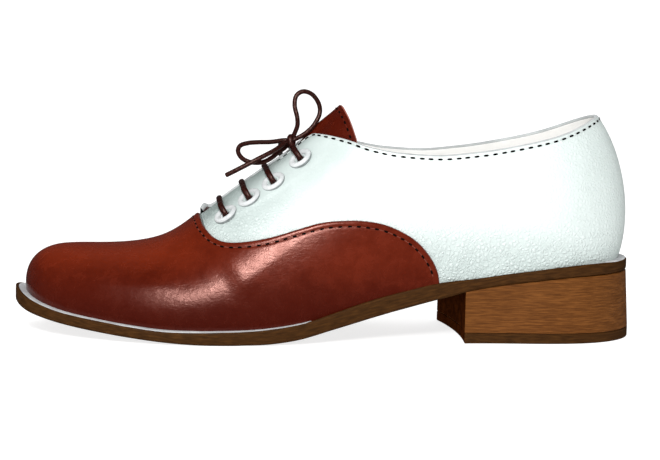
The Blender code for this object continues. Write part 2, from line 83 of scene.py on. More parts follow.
# Sole and heel, with more detail than in the part's source
SOLE_RIM = ((6.5, -1.6), (0.9, 0.0), (0.35, -0.1), (0.05, -0.45), (0.0, -1.0))  # inset, height from its top
SOLE_FOOT = ((0.0, 1.5), (0.12, 0.9), (0.5, 0.35), (1.3, 0.0))      # inset, height from its underside
WELT_EDGE = ((0.0, 0.1), (0.0, 0.72), (-0.1, 0.92), (-0.35, 1.0))   # reach, share of its thickness
WELT_TOE_STEP = 0.9     # the welt stands in by this much more round the toe
WELT_TOE = (-130.0, -112.0)
WELT_ENDS = (-9.0, 121.0)   # between these the sole's own edge covers the welt
WELT_ENDS_SOFT = 2.0
WELT_HIDDEN = 0.2       # reach of the welt there
INSOLE_ROUND = (0.6, 0.5)   # inset and drop of the insole's edge
INSOLE_DISH = 0.8
HEEL_BACK_FLARE = 1.6   # the heel's foot is this much wider at the back
HEEL_TOP_FLARE = 0.3
HEEL_FLARE_END_X = 128.0
HEEL_BREAST_SKEW = 2.2  # the inner end of the breast is this much further forward
HEEL_SEAM = 0.05        # gap between heel and lift
HEEL_SINK = 0.1         # the heel goes into the sole by this much
HEEL_SOFT = 0.4         # width of its softened edges
HEEL_SHARP = 40.0       # edges sharper than this, in degrees, are softened
BREAST_FACING = -0.7    # faces that look further forward than this are the breast

# Tongue, eyelets and lace, closer to the photograph than in the part's source
TONGUE_END_X = 1.4
TONGUE_EDGE = 0.4       # its edge bulges out by this much
EYELET_RADIUS = 5.4
EYELET_OVAL = 0.92      # its height by its length
EYELET_BEAD = 2.6       # the raised bead ends at this radius
EYELET_LOW = 0.3        # height of the bead's upper side, by that of its lower side
EYELET_HOLE = 1.6
EYELET_PAINTED_SHADOW = 3         # points of the section painted grey as a shadow at its outer edge
EYELET_HEIGHT = 2.0
EYELET_DOME = 0.8       # below 1, the bead is fuller than a half round
EYELET_SINK = 0.2       # the ring's underside lies this deep in the leather
EYELET_MOUTH = 0.3      # depth of the hole's sloping mouth, and of the barrel past the lining
BARREL_THICK = 0.25
EYELET_FROM_EDGE = (15.7, 15.4, 15.2, 12.7)
PUNCH_CLEAR = 0.3       # the hole in the leather is this much wider than the eyelet's
PUNCH_ENDS = (-5.0, 3.0)
LACE_RADIUS = 1.0
CORD_END = (0.35, 0.72)     # length and width of a cord's rounded end, by its radius
BAR_RADIUS = 1.3        # half of a bar's width, where the lace lies flat
BAR_FLAT = 0.68         # thickness of a bar by its width
KNOT_RADIUS = 1.3       # thickness of the turn round the knot, halved
KNOT_ROUND = (0.9, 1.5, 1.5)    # half sizes of that turn
KNOT_CLEAR = 3.4        # the top bars leave the leather this far beside the knot's middle

# Stage, in metres
FLOOR_RADIUS = 9.0
BACKDROP_HIGH = 3.0
FLOOR_RINGS = 9
FLOOR_STEPS = 96
FLOOR_GLOW = 0.78        # light of the paper itself, which keeps it white
WALL_GLOW = 1.0
ROOM = 0.05              # strength of the room's own light
PANEL_PLACE = (-1.0, -0.55, 1.6)
PANEL_ANGLE = 60.0
PANEL_POWER = 1.2
FILL_PLACE = (0.3, 1.0, 1.2)
FILL_POWER = 1.3
KEY_PLACE = (-0.16, -1.0, 0.66)
KEY_SIZE = (0.18, 0.2)
KEY_POWER = 11.0
LIGHT_AIM = (0.0, 0.0, 0.04)

# Finish of the leather
TUCK = (0.0, 0.0, GAP + 0.1)    # its lower edge goes down into the welt
VAMP_UNDER = 0.1        # gap under the vamp
VAMP_SINK = 0.05        # its edge goes into the quarter by this much
FACING_RAMP = 3.0       # the slit opens to its full width over this length
FACING_CORNER = 5.0     # radius of the facing's top corner
EDGE_ROUND = 1.0        # rolled edge of the vamp
VAMP_STITCH = 2.6       # stitch line from the vamp's edge
COLLAR_STITCH = 2.2     # stitch line from the collar's edge
COLLAR_STITCH_FROM = -27.0   # the collar's stitches start here on the facing, on the ridge
COLLAR_STITCH_END = 0.999    # and end here round the foot, at the back seam
TONGUE_STITCH = 2.2
STITCH_PITCH = 3.85
VAMP_STITCH_SIZE = (2.0, 0.84, 0.55)      # length, width and thickness of one stitch
COLLAR_STITCH_SIZE = (2.35, 0.85, 0.5)
VAMP_STITCH_LIFT = 0.06     # height of the thread's middle over its groove
COLLAR_STITCH_LIFT = 0.04   # and over the collar's leather
THREAD_RADIUS = 0.16
GROOVE_DEPTH = 0.16     # the thread pulls the leather in
GROOVE_WIDE = 0.45
TONGUE_BULGE = 1.0      # the tongue's end bows out by this much
TONGUE_SWELL = 3.2      # and its middle swells up where it leaves the facings
TONGUE_SWELL_X = -9.0
TONGUE_SWELL_LONG = 8.0
TONGUE_SWELL_WIDE = 4.0
EYESTAY_WIDE = 21.0     # the leather is thicker this far from the facing's edge
EYESTAY_FRONT = (-57.0, -41.0)   # its edge comes down from the throat between these, on the ridge
EYESTAY_BACK = (-30.0, -14.0)    # and fades out between these
EYESTAY_RISE = 0.5
EYESTAY_SLOPE = 0.4     # half the width of the step at its edge
EYESTAY_ROWS = 34
SEAM_DEPTH = 0.3        # back seam
SEAM_WIDE = 0.55
SEAM_STEPS = (0.0, 0.0008, 0.0016, 0.003)
SEAM_REACH = 0.1        # it lies within this of the heel's place round the foot
FLAP_AT = -53.6         # the inner facing's front corner stands up here, on the ridge
FLAP_LONG = 2.1
FLAP_DEEP = 5.0
FLAP_HIGH = 3.3

# Creases of the vamp as (place, share) lines on its skin, each with its width and its height
Crease = namedtuple("Crease", "name line wide high step")
CREASES = (
    Crease("fold round the toe", ((0.082, 0.531), (0.098, 0.421), (0.142, 0.388), (0.191, 0.398),
                                  (0.258, 0.416), (0.298, 0.393)), 1.6, -0.18, False),
    Crease("shoulder of the toe box", ((0.12, 0.42), (0.162, 0.41), (0.2, 0.41), (0.237, 0.405),
                                       (0.275, 0.395), (0.305, 0.385)), 5.5, 0.8, False),
    Crease("step at the flex line", ((0.338, 0.62), (0.345, 0.55), (0.354, 0.48), (0.362, 0.416),
                                     (0.369, 0.343), (0.376, 0.266), (0.39, 0.16)), 7.5, 0.6, True),
)
CREASE_TAPER = 0.3      # share of its length over which a crease fades out at each end
STEP_FADE = 22.0        # behind a step, its height fades out over this length

# Colours as seen, 0 to 255, in the order of each material's ramp
COLOURS = {
    # the browns also carry painted shade low down and painted light higher up and on the top of the toe
    "brown_leather": ((57, 9, 1), (69, 15, 2), (106, 32, 10)),
    # the clean white, then greys for its painted shade and the valleys of its grain
    "white_leather": ((220, 227, 225), (180, 191, 188), (124, 136, 133)),
    "lining": ((243, 243, 241), (250, 250, 249)),
    # grey painted shade along the quarters' rolled edge
    "rim_painted_shade": ((150, 154, 154), (190, 194, 194)),
    # lighter brown painted as a highlight along the tongue's rim
    "tongue_rim_painted_highlight": ((140, 74, 60), (176, 104, 88)),
    "insole": ((212, 200, 182), (226, 216, 200)),
    "welt_leather": ((164, 165, 167), (194, 196, 197)),
    "sole_leather": ((47, 27, 8), (58, 34, 11), (70, 43, 16)),
    "stacked_heel": ((78, 43, 12), (94, 54, 18), (110, 66, 26)),
    "heel_breast": ((38, 14, 2), (52, 22, 5), (64, 29, 8)),
    "lace_cord": ((17, 6, 4), (46, 16, 12)),
    "enamel": ((188, 191, 192), (204, 207, 207)),
    # grey painted as a shadow round the eyelets' outer edge
    "enamel_painted_shadow": ((104, 110, 110), (140, 146, 146)),
    "black_thread": ((4, 3, 3), (16, 13, 12)),
    "vamp_thread": ((96, 48, 40), (128, 72, 60)),
    "collar_thread": ((190, 196, 194), (214, 220, 218)),
    "tongue_thread": ((70, 26, 16), (96, 40, 28)),
    "floor_paper": ((180, 180, 180), (183, 183, 183)),
    "wall_paper": ((180, 180, 180), (183, 183, 183)),
}
PATCHES = (0.3, 0.7)    # most of a noise pattern lies between these

# Where the leather's tone changes, in metres: most of these place painted shade and painted light
# painted shade low on the brown, giving way to painted light higher up
BROWN_PAINTED_SHADE_Z = (0.008, 0.038)
# painted light on the top of the toe
TOE_PAINTED_LIGHT_X = (-0.045, -0.085)
TOE_PAINTED_LIGHT_Z = (0.026, 0.037)
DARK_INSTEP_Z = (0.05, 0.075)
# painted shade on the white: at the heel, low down, along the facings and darker still at the facing's edge
HEEL_PAINTED_SHADE_X = (0.05, 0.118)
LOW_PAINTED_SHADE_Z = (0.068, 0.03)
FACING_WAY = (0.635, 0.772)     # the way back and down from the facing, in x and z
FACING_PAINTED_SHADE = (-0.06, -0.044)
EDGE_PAINTED_SHADE = (-0.0745, -0.0675)
PAINTED_SHADE_STOP = 0.667       # the white's painted shade colour lies here on its ramp
BRAID_ALONG = 2600.0    # radians of the lace's braid in a metre
BRAID_TURNS = 6.0

# Mesh fineness
SMALL = 1e-4
PLACE_SEARCH = 2001
RIB_SEARCH = 201
RIB_HALVINGS = 14
RIB_POINTS = 161
RIM_AHEAD = 1e-3
ROUTE_POINTS = 12
ROUTE_STEP = 0.5
EDGE_STEP = 0.3
EDGE_SOFT = 9           # points over which the vamp's edge is smoothed
EDGE_CROWD = 1.3        # rows lie closer together at an edge
VAMP_CROWD = 1.5
TONGUE_CROWD = 1.5
THROAT_SAMPLES = 24
EDGE_SAMPLES = 240
VAMP_FAN = 0.1          # the vamp's lines lean forward by this much of a place at the throat
WELD = 0.01
UPPER_COLUMNS = 460
UPPER_ROWS = 70
LINING_ROWS = 30
RIM_STEPS = 7
VAMP_RIDGE_LINES = 90
VAMP_EDGE_LINES = 230
VAMP_ROWS = 56
VAMP_UNDER_ROWS = 9
SOLE_STEPS = 400
INSOLE_COLUMNS = 15
SOLE_COLUMNS = (3, 9)   # over its top and under it
HEEL_STEPS = 161
HEEL_ROWS = 9
LIFT_ROWS = 3
BREAST_STEPS = 25
TONGUE_COLUMNS = 33
TONGUE_ROWS = 80
RING_STEPS = 48
PUNCH_STEPS = 32
DOME_POINTS = 15
EYELET_SPAN = 0.004     # the leather's run at an eyelet is read over this much of a place, either way
BAR_POINTS = 40
CORD_SIDES = 14
THREAD_SHARP = 80.0     # edges of lace and thread sharper than this, in degrees, aren't smoothed
STITCH_SAMPLES = 3      # points in a millimetre
STITCH_ROWS = 200
STITCH_RINGS = 9
STITCH_SIDES = 8
STITCH_LEAD = 12
THREAD_SIDES = 6
COLLAR_SAMPLES = 260
STITCH_STOP = 12        # the vamp's stitches stop this many lines before its end
TOP_SHARE = 0.999       # the stitches meet just under the ridge

# Sections of the last, toe to heel, as in the part's source
Section = namedtuple("Section", "name x lateral medial top_x top_y top_z heading out rise reach")
SECTIONS = (
    Section("toe tip", -127.9, 2.5, 2.5, -108.5, 2.5, 35.3, 0, 2.0, 14.0, 12.5),
    Section("toe corner", -123.8, -11.5, 15.5, -107.0, 2.5, 35.3, 32, 1.8, 14.0, 15.5),
    Section("toe shoulder", -112.0, -23.0, 26.0, -102.0, 2.4, 35.4, 60, 1.8, 13.5, 19.0),
    Section("toe box", -92.0, -32.0, 33.8, -91.0, 2.0, 35.6, 78, 2.0, 13.5, 23.0),
    Section("tread", -67.0, -37.4, 38.0, -71.0, 1.5, 39.2, 88, 2.5, 15.0, 26.0),
    Section("ball", -39.0, -38.4, 37.6, -52.0, 1.0, 52.3, 90, 3.0, 18.0, 29.0),
    Section("instep", -11.0, -36.8, 33.2, -30.0, 0.4, 69.2, 90, 4.0, 24.0, 30.0),
    Section("waist", 17.0, -33.8, 28.4, -8.5, 0.0, 87.4, 90, 5.0, 28.0, 28.0),
    Section("shank", 46.0, -31.0, 26.8, 14.0, 0.0, 110.5, 90, 5.0, 30.0, 25.0),
    Section("heel front", 72.5, -29.4, 27.6, 44.0, 0.0, 115.0, 90, 5.0, 30.0, 25.0),
    Section("heel seat", 97.0, -28.2, 27.2, 70.0, 0.0, 113.5, 100, 6.0, 28.0, 24.0),
    Section("heel corner", 119.3, -19.8, 19.8, 88.0, 0.0, 110.8, 135, 8.0, 27.5, 27.0),
    Section("back", 130.2, 0.0, 0.0, 94.0, 0.0, 110.0, 180, 8.4, 27.4, 29.8),
)

# Side-view curves as (x, value) pairs, toe to heel, as in the part's source
SOLE_THICK = ((-134, 5.2), (-123, 4.2), (-109, 3.5), (-74, 3.4), (-57, 4.0), (-34, 4.5), (21, 4.4),
              (46, 4.0), (67, 2.9), (85, 3.0), (98, 3.3), (120, 3.9), (134, 4.2))
TOPLINE = ((-11, 87.0), (-4, 86.8), (5, 85.3), (15, 82.4), (28, 80.3), (43, 79.6), (62, 81.4),
           (79, 84.4), (97, 88.8), (116, 96.7), (122, 99.5))
VAMP_EDGE = ((-57.5, 50.6), (-54, 47.0), (-49, 42.4), (-44, 40.8), (-39, 41.2), (-29, 43.0),
             (-14, 47.8), (-1, 51.2), (9, 51.8), (19, 50.8), (28, 47.8), (35, 43.6), (41, 37.2),
             (44.5, 31.2), (46.3, 25.6))

# Two more, with a rounder tread and a sole that is wider at the waist than in the part's source
GROUND = ((-134, 12.6), (-127, 9.4), (-117, 7.0), (-97, 4.0), (-80, 1.95), (-68, 0.8), (-58, 0.2), (-50, 0.0),
          (-42, 0.0), (-34, 0.3), (-25, 1.2), (-14, 3.0), (1, 7.2), (29, 15.0), (57, 21.9), (81, 25.7),
          (110, 28.6), (134, 29.4))
SOLE_MARGIN = ((-134, 6.1), (-100, 5.4), (-54, 5.2), (-11, 3.6), (17, 2.3), (46, 1.9),
               (60, 1.5), (72, 1.4), (97, 1.8), (120, 3.0), (131, 3.8))

# Height of the welt's white edge that shows over the sole's edge, or below zero where that covers it
WELT_SHOW = ((-134, 0.45), (-124, 0.35), (-115, 0.2), (-95, 0.1), (-86, 0.2), (-66, 0.28), (-56, 0.18),
             (-46, 0.1), (-12, 0.12), (-8, 0.05), (0, -0.3), (12, -1.0), (20, -1.25), (40, -1.25), (50, -0.7),
             (60, -0.4), (100, -0.3), (118, 0.0), (124, 0.4), (134, 0.4))

# How far the sole's edge goes below the ground curve, at the toe and the waist
SOLE_DROP = ((-134, 0.9), (-119, 0.0), (-38, 0.0), (-25, 0.6), (-14, 0.8), (1, 0.8), (29, 0.6), (50, 0.6),
             (58, 0.2), (66, 0.0))

# Height of a lace bar's centre over the leather, by distance from the eyelet's centre
BAR_HEIGHT = ((0, 0.4), (1.4, 1.8), (2.8, 2.5), (4.4, 2.6), (6.2, 2.1), (8.6, 1.15), (12.0, 1.0),
              (14.0, 0.9), (16.0, 0.4), (19.0, 0.0))
BAR_DROP = (3.4, 1.8)   # where the lace goes down inside the eyelet

# Where the top bars end, from the knot's middle
KNOT_WRAP = {"lateral": ((-0.6, -2.6, -0.6), (-0.7, -2.0, 1.4), (-0.2, 0.0, 2.2)),
             "medial": ((0.4, 2.0, -0.4),)}

# The bow, as in the part's source
KNOT_CENTRE = (-16.4, -2.4, 82.8)
LOOP_UP = ((-15.0, -2.9, 86.2), (-13.9, -3.2, 89.6), (-14.1, -3.2, 93.2), (-15.2, -2.2, 98.0),
           (-14.6, -1.4, 102.2), (-11.6, -0.8, 104.2), (-7.6, -0.2, 103.0), (-4.6, 0.0, 99.0),
           (-4.2, -0.4, 94.6), (-6.6, -1.6, 89.9), (-9.4, -2.4, 87.0), (-12.2, -2.8, 85.0))
LOOP_FRONT = ((-19.4, -1.8, 83.0), (-25.0, -2.6, 82.2), (-30.6, -3.4, 82.0), (-35.0, -4.2, 81.6),
              (-38.4, -5.4, 80.5), (-39.4, -6.8, 78.2), (-38.0, -8.6, 75.6), (-35.0, -10.0, 74.0),
              (-31.4, -10.6, 73.6), (-28.0, -10.0, 74.2), (-24.6, -8.0, 76.0), (-21.8, -5.6, 78.2),
              (-19.2, -3.9, 79.9))
END_FRONT = ((-18.6, -5.4, 82.4), (-21.0, -8.6, 81.0), (-24.6, -11.6, 78.8), (-31.0, -13.6, 75.5),
             (-38.6, -14.0, 71.4), (-44.4, -13.6, 68.3))
END_FAR = ((-18.6, 0.6, 82.6), (-20.0, 4.6, 82.2), (-20.4, 8.8, 80.4), (-20.0, 13.2, 77.4),
           (-19.2, 17.4, 73.6), (-18.4, 20.9, 69.5), (-17.8, 24.1, 65.1))


# Curves and the last's surface

def unit(vectors):
    """Vectors made one long."""
    return vectors / np.linalg.norm(vectors, axis=-1, keepdims=True)


def full_turn(count):
    """Angles evenly round a circle."""
    return np.linspace(0.0, 2 * np.pi, count, endpoint=False)


def level(value):
    """A curve that is the same all along."""
    return lambda x: np.full_like(x, value)


def read_along(at, run, values):
    """Rows of values, read at distances along their run."""
    return np.stack([np.interp(at, run, column) for column in values.T], -1)


def tree_of(points):
    """Points sorted for a quick search."""
    tree = KDTree(len(points))
    for number, point in enumerate(points):
        tree.insert(point, number)
    tree.balance()
    return tree


def profile(table):
    """A smooth curve through (x, value) pairs that never overshoots them."""
    x, y = np.array(table, float).T
    step = np.diff(x)
    rise = np.diff(y) / step
    slope = np.zeros_like(x)
    same_way = rise[:-1] * rise[1:] > 0
    mean = 2.0 * rise[:-1] * rise[1:] / np.where(same_way, rise[:-1] + rise[1:], 1.0)
    slope[1:-1] = np.where(same_way, mean, 0.0)
    slope[0], slope[-1] = rise[0], rise[-1]

    def at(place):
        place = np.clip(place, x[0], x[-1])
        i = np.clip(np.searchsorted(x, place) - 1, 0, len(step) - 1)
        b = (place - x[i]) / step[i]
        a = 1.0 - b
        ends = y[i] * a * a * (1 + 2 * b) + y[i + 1] * b * b * (1 + 2 * a)
        return ends + step[i] * a * b * (slope[i] * a - slope[i + 1] * b)

    return at


def closed_curve(knots, values, period):
    """A smooth closed curve through the values, with even bending at every knot."""
    count = len(knots)
    ends = np.append(knots, period)
    step = np.diff(ends)
    rise = (np.roll(values, -1) - values) / step
    system = np.zeros((count, count))
    for i in range(count):
        system[i, i - 1] += step[i - 1]
        system[i, i] += 2.0 * (step[i - 1] + step[i])
        system[i, (i + 1) % count] += step[i]
    bend = np.linalg.solve(system, 6.0 * (rise - np.roll(rise, 1)))

    def at(place):
        place = np.mod(place, period)
        i = np.clip(np.searchsorted(ends, place, side="right") - 1, 0, count - 1)
        j = (i + 1) % count
        a = (ends[i + 1] - place) / step[i]
        b = 1.0 - a
        arch = ((a ** 3 - a) * bend[i] + (b ** 3 - b) * bend[j]) * step[i] ** 2 / 6.0
        return a * values[i] + b * values[j] + arch

    return at


def last_curves():
    """The section table as closed curves round the foot: 0 toe, 1 heel, 2 toe again."""
    rows = len(SECTIONS)
    half_width = [(row.medial - row.lateral) / 2 for row in SECTIONS]
    chord = np.hypot(np.diff([row.x for row in SECTIONS]), np.diff(half_width))
    outer = np.append(0.0, np.cumsum(chord)) / chord.sum()
    knots = np.append(outer, 2.0 - outer[-2:0:-1])
    order = list(range(rows)) + list(range(rows - 2, 0, -1))
    curves = {}
    for column in ("x", "top_x", "top_y", "top_z", "out", "rise", "reach"):
        values = np.array([getattr(SECTIONS[r], column) for r in order], float)
        curves[column] = closed_curve(knots, values, 2.0)
    sides = [SECTIONS[r].lateral if k < rows else SECTIONS[r].medial for k, r in enumerate(order)]
    curves["y"] = closed_curve(knots, np.array(sides, float), 2.0)
    turn = [SECTIONS[r].heading if k < rows else 360 - SECTIONS[r].heading for k, r in enumerate(order)]
    curves["turn"] = closed_curve(knots, np.array(turn) - 180.0 * knots, 2.0)
    return curves


LAST = last_curves()


def place_of(column, value):
    """Place on the outer half of the loop where a column of the table has this value."""
    places = np.linspace(0.0, 1.0, PLACE_SEARCH)
    return float(np.interp(value, LAST[column](places), places))


THROAT = place_of("top_x", THROAT_X)
VAMP_END = place_of("x", VAMP_END_X)
ground = profile(GROUND)
sole_thick = profile(SOLE_THICK)
sole_margin = profile(SOLE_MARGIN)
topline = profile(TOPLINE)
vamp_edge = profile(VAMP_EDGE)
welt_show = profile(WELT_SHOW)
sole_drop = profile(SOLE_DROP)
bar_height = profile(BAR_HEIGHT)


def smooth_step(value, low, high):
    t = np.clip((value - low) / (high - low), 0.0, 1.0)
    return t * t * (3 - 2 * t)


def sole_top(x):
    return ground(x) + sole_thick(x)


def welt_top(x):
    return sole_top(x) + GAP + WELT_THICK


def skin(place, share):
    """Outer face of the quarters: place goes round the foot, share up from the feather line."""
    place, share = np.broadcast_arrays(np.asarray(place, float), np.asarray(share, float))
    heading = np.radians(LAST["turn"](place) + 180.0 * np.mod(place, 2.0))
    outward = np.stack([-np.cos(heading), -np.sin(heading), np.zeros_like(place)], -1)
    x = LAST["x"](place)
    foot = np.stack([x, LAST["y"](place), welt_top(x) + GAP], -1)
    ridge = np.stack([LAST["top_x"](place), LAST["top_y"](place), LAST["top_z"](place)], -1)
    lean = outward * LAST["out"](place)[..., None]
    lean[..., 2] += LAST["rise"](place)
    low = foot + lean
    high = ridge + outward * LAST["reach"](place)[..., None]
    t = share[..., None]
    a = 1.0 - t
    return a ** 3 * foot + 3 * a * a * t * low + 3 * a * t * t * high + t ** 3 * ridge


def skin_normal(place, share):
    """Unit vector out of the leather."""
    share = np.clip(share, SMALL, 1.0 - SMALL)
    along = skin(place + SMALL, share) - skin(place - SMALL, share)
    up = skin(place, share + SMALL) - skin(place, share - SMALL)
    return unit(np.cross(along, up))


def offset_skin(place, share, height):
    return skin(place, share) + skin_normal(place, share) * np.asarray(height)[..., None]


def first_share(places, past):
    """Share at which each rib first satisfies past(points), or 1 if it never does."""
    shares = np.linspace(0.0, 1.0, RIB_SEARCH)
    hits = past(skin(places[:, None], shares))
    first = np.argmax(hits, 1)
    high = shares[first]
    low = shares[np.maximum(first - 1, 0)]
    for _ in range(RIB_HALVINGS):
        middle = (low + high) / 2
        inside = past(skin(places, middle)[:, None])[:, 0]
        high = np.where(inside, middle, high)
        low = np.where(inside, low, middle)
    return np.where(hits.any(1), high, 1.0)


def is_open(places):
    """True where a rib ends at the facing or the collar and not on the closed ridge."""
    around = np.mod(places, 2.0)
    return (around > THROAT) & (around < 2.0 - THROAT)


def quarter_share(places):
    """Share at which each rib of the quarter ends: at the topline or at its facing edge."""
    centre = LAST["top_y"](places)[:, None]
    ridge_x = LAST["top_x"](places)
    half_gap = FACING_HALF_GAP * smooth_step(ridge_x, THROAT_X - FACING_RAMP, THROAT_X + FACING_RAMP)
    half_gap = np.where(is_open(places) & (ridge_x < FACING_END_X), half_gap, 0.0)[:, None]
    corner = np.where(half_gap > 0, FACING_CORNER, 0.0)

    def past(points):
        over_facing = half_gap - np.abs(points[..., 1] - centre)
        over_collar = points[..., 2] - topline(points[..., 0])
        inside = np.hypot(np.maximum(over_facing + corner, 0.0), np.maximum(over_collar + corner, 0.0))
        return (over_facing > 0) | (over_collar > 0) | (inside > corner) & (corner > 0)

    return first_share(places, past)


def vamp_share(places):
    """Share at which each rib of the vamp ends behind the throat."""
    return first_share(places, lambda points: points[..., 2] > vamp_edge(points[..., 0]))


def rib_points(places, edges):
    """Shares and points down each rib, from its edge to the feather line."""
    shares = edges[:, None] * np.linspace(1.0, 0.0, RIB_POINTS)
    return shares, skin(places[:, None], shares)


def shares_below(places, edges, distances):
    """Shares down each rib at distances from its edge."""
    shares, ribs = rib_points(places, edges)
    return np.array([np.interp(d, run_of(rib), share) for d, rib, share in zip(distances, ribs, shares)])


def rib_lengths(places, edges):
    """Length of each rib from its edge to the feather line."""
    return np.array([run_of(rib)[-1] for rib in rib_points(places, edges)[1]])


def sole_edge(place, grow):
    """Feather line grown outwards in plan, as x and y."""
    line, ahead, behind = (np.stack([LAST[way](at) for way in "xy"], -1)
                           for at in (place, place + SMALL, place - SMALL))
    outward = unit(ahead - behind)[..., ::-1] * (1.0, -1.0)
    return line + np.asarray(grow)[..., None] * outward


def run_of(points):
    """Distance along a line of points."""
    return np.append(0.0, np.cumsum(np.linalg.norm(np.diff(points, axis=0), axis=1)))


def smooth_route(points, spacing=ROUTE_STEP):
    """Evenly spaced points on a smooth curve through a route."""
    points = np.array(points, float)
    whole = np.concatenate([[2 * points[0] - points[1]], points, [2 * points[-1] - points[-2]]])
    t = np.linspace(0.0, 1.0, ROUTE_POINTS, endpoint=False)[:, None]
    fine = []
    for p, q, r, s in zip(whole, whole[1:], whole[2:], whole[3:]):
        bend = (2 * p - 5 * q + 4 * r - s) * t ** 2 + (3 * q - p - 3 * r + s) * t ** 3
        fine.append(0.5 * (2 * q + (r - p) * t + bend))
    fine = np.concatenate(fine + [points[-1:]])
    run = run_of(fine)
    even = np.linspace(0.0, run[-1], max(3, int(round(run[-1] / spacing)) + 1))
    return read_along(even, run, fine)


# Meshes

class Shape:
    """Points and faces of one piece, gathered grid by grid."""

    def __init__(self):
        self.points = []
        self.faces = []
        self.slots = []
        self.count = 0

    def grid(self, points, slot=0, around=False, across=False):
        """Four-sided faces over a grid of points, closed round its first or second way if asked."""
        columns, rows = points.shape[:2]
        index = self.count + np.arange(columns * rows).reshape(columns, rows)
        if around:
            index = np.concatenate([index, index[:1]])
        if across:
            index = np.concatenate([index, index[:, :1]], 1)
        quads = np.stack([index[:-1, :-1], index[1:, :-1], index[1:, 1:], index[:-1, 1:]], -1).reshape(-1, 4)
        self.points.append(points.reshape(-1, 3))
        self.faces.extend(quads.tolist())
        self.slots.extend([slot] * len(quads))
        self.count += columns * rows

    def cap(self, loop, slot=0):
        """One flat face over a closed loop of points."""
        self.faces.append(list(range(self.count, self.count + len(loop))))
        self.slots.append(slot)
        self.points.append(np.asarray(loop))
        self.count += len(loop)

    def rod(self, rings):
        """A rod over rings of points, with flat ends."""
        self.grid(rings, across=True)
        self.cap(rings[0])
        self.cap(rings[-1])

    def build(self, name, materials, sharp=50.0):
        """The finished object, with coinciding points made one and faces turned outwards."""
        mesh = bpy.data.meshes.new(name)
        mesh.from_pydata(np.concatenate(self.points) * MM, [], self.faces)
        mesh.polygons.foreach_set("material_index", self.slots)
        shape = bmesh.new()
        shape.from_mesh(mesh)
        bmesh.ops.remove_doubles(shape, verts=shape.verts, dist=WELD * MM)
        bmesh.ops.dissolve_degenerate(shape, edges=shape.edges, dist=0.1 * WELD * MM)
        bmesh.ops.recalc_face_normals(shape, faces=shape.faces)
        shape.to_mesh(mesh)
        shape.free()
        mesh.shade_smooth()
        mesh.set_sharp_from_angle(angle=np.radians(sharp))
        for look in materials:
            mesh.materials.append(look)
        made = bpy.data.objects.new(name, mesh)
        bpy.context.scene.collection.objects.link(made)
        return made


def dress(piece, slot, *nodes):
    """Puts a piece on the shoe, in the place of its plain solids where it has any."""
    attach(piece, "root")
    if nodes:
        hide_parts(*nodes)
    return piece


# Materials

def tint(red, green, blue):
    """A colour as seen, 0 to 255, turned into light."""
    return (*[((c / 255 + 0.055) / 1.055) ** 2.4 for c in (red, green, blue)], 1.0)


class Finish:
    """A material and short ways to add nodes to it."""

    def __init__(self, name, **constants):
        self.name = name
        self.material = bpy.data.materials.new(name)
        self.material.use_nodes = True
        self.tree = self.material.node_tree
        self.shader = self.tree.nodes["Principled BSDF"]
        for socket, value in constants.items():
            self.shader.inputs[socket.replace("_", " ")].default_value = value
        self.place = self.node("ShaderNodeTexCoord").outputs["Object"]

    def node(self, kind, inputs=None, **settings):
        made = self.tree.nodes.new(kind)
        for key, value in settings.items():
            setattr(made, key, value)
        for key, value in (inputs or {}).items():
            if isinstance(value, bpy.types.NodeSocket):
                self.tree.links.new(value, made.inputs[key])
            else:
                made.inputs[key].default_value = value
        return made

    def run(self):
        """Coordinates along and across a piece that was given its run."""
        return self.node("ShaderNodeUVMap", uv_map="run").outputs[0]

    def stretched(self, at, *counts):
        """Coordinates stretched so that a metre holds these counts of units."""
        return self.node("ShaderNodeMapping", {"Vector": at, "Scale": counts}).outputs[0]

    def warped(self, scale, amount):
        """Coordinates pushed about by amount millimetres, so that a pattern on them loses its evenness."""
        push = self.node("ShaderNodeTexNoise", {"Vector": self.place, "Scale": scale}).outputs["Color"]
        inputs = {0: push, 1: (amount * MM,) * 3, 2: self.place}
        return self.node("ShaderNodeVectorMath", inputs, operation="MULTIPLY_ADD").outputs[0]

    def noise(self, scale, detail=3.0, rough=0.55, twist=0.0, at=None):
        inputs = {"Vector": at or self.place, "Scale": scale, "Detail": detail, "Roughness": rough,
                  "Distortion": twist}
        return self.node("ShaderNodeTexNoise", inputs).outputs["Fac"]

    def cell_edges(self, scale, at):
        """Distance from the edges of the cells of a pebbled pattern."""
        inputs = {"Vector": at, "Scale": scale}
        return self.node("ShaderNodeTexVoronoi", inputs, feature="DISTANCE_TO_EDGE").outputs["Distance"]

    def math(self, way, a, b):
        return self.node("ShaderNodeMath", {0: a, 1: b}, operation=way).outputs[0]

    def add(self, a, b):
        return self.math("ADD", a, b)

    def times(self, a, b):
        return self.math("MULTIPLY", a, b)

    def most(self, a, b):
        return self.math("MAXIMUM", a, b)

    def span(self, value, low, high, to_low, to_high):
        inputs = {0: value, 1: low, 2: high, 3: to_low, 4: to_high}
        return self.node("ShaderNodeMapRange", inputs, interpolation_type="SMOOTHSTEP").outputs[0]

    def axis(self, name):
        return self.node("ShaderNodeSeparateXYZ", {0: self.place}).outputs[name]

    def set(self, socket, value):
        self.tree.links.new(value, self.shader.inputs[socket])

    def colour(self, value, *stops):
        """Colours the surface by a value that meets the material's own colours at these stops."""
        made = self.node("ShaderNodeValToRGB", {0: value})
        bar = made.color_ramp.elements
        while len(bar) < len(stops):
            bar.new(0.5)
        for mark, stop, shade in zip(bar, stops, COLOURS[self.name]):
            mark.position = stop
            mark.color = tint(*shade)
        self.set("Base Color", made.outputs["Color"])

    def polish(self, value, low, high):
        """Roughness between two values, by the middle of a pattern's range."""
        self.set("Roughness", self.span(value, *PATCHES, low, high))

    def bump(self, height, strength, depth):
        """Raises the surface by up to depth millimetres of the height."""
        inputs = {"Height": height, "Strength": strength, "Distance": depth * MM}
        self.set("Normal", self.node("ShaderNodeBump", inputs).outputs[0])


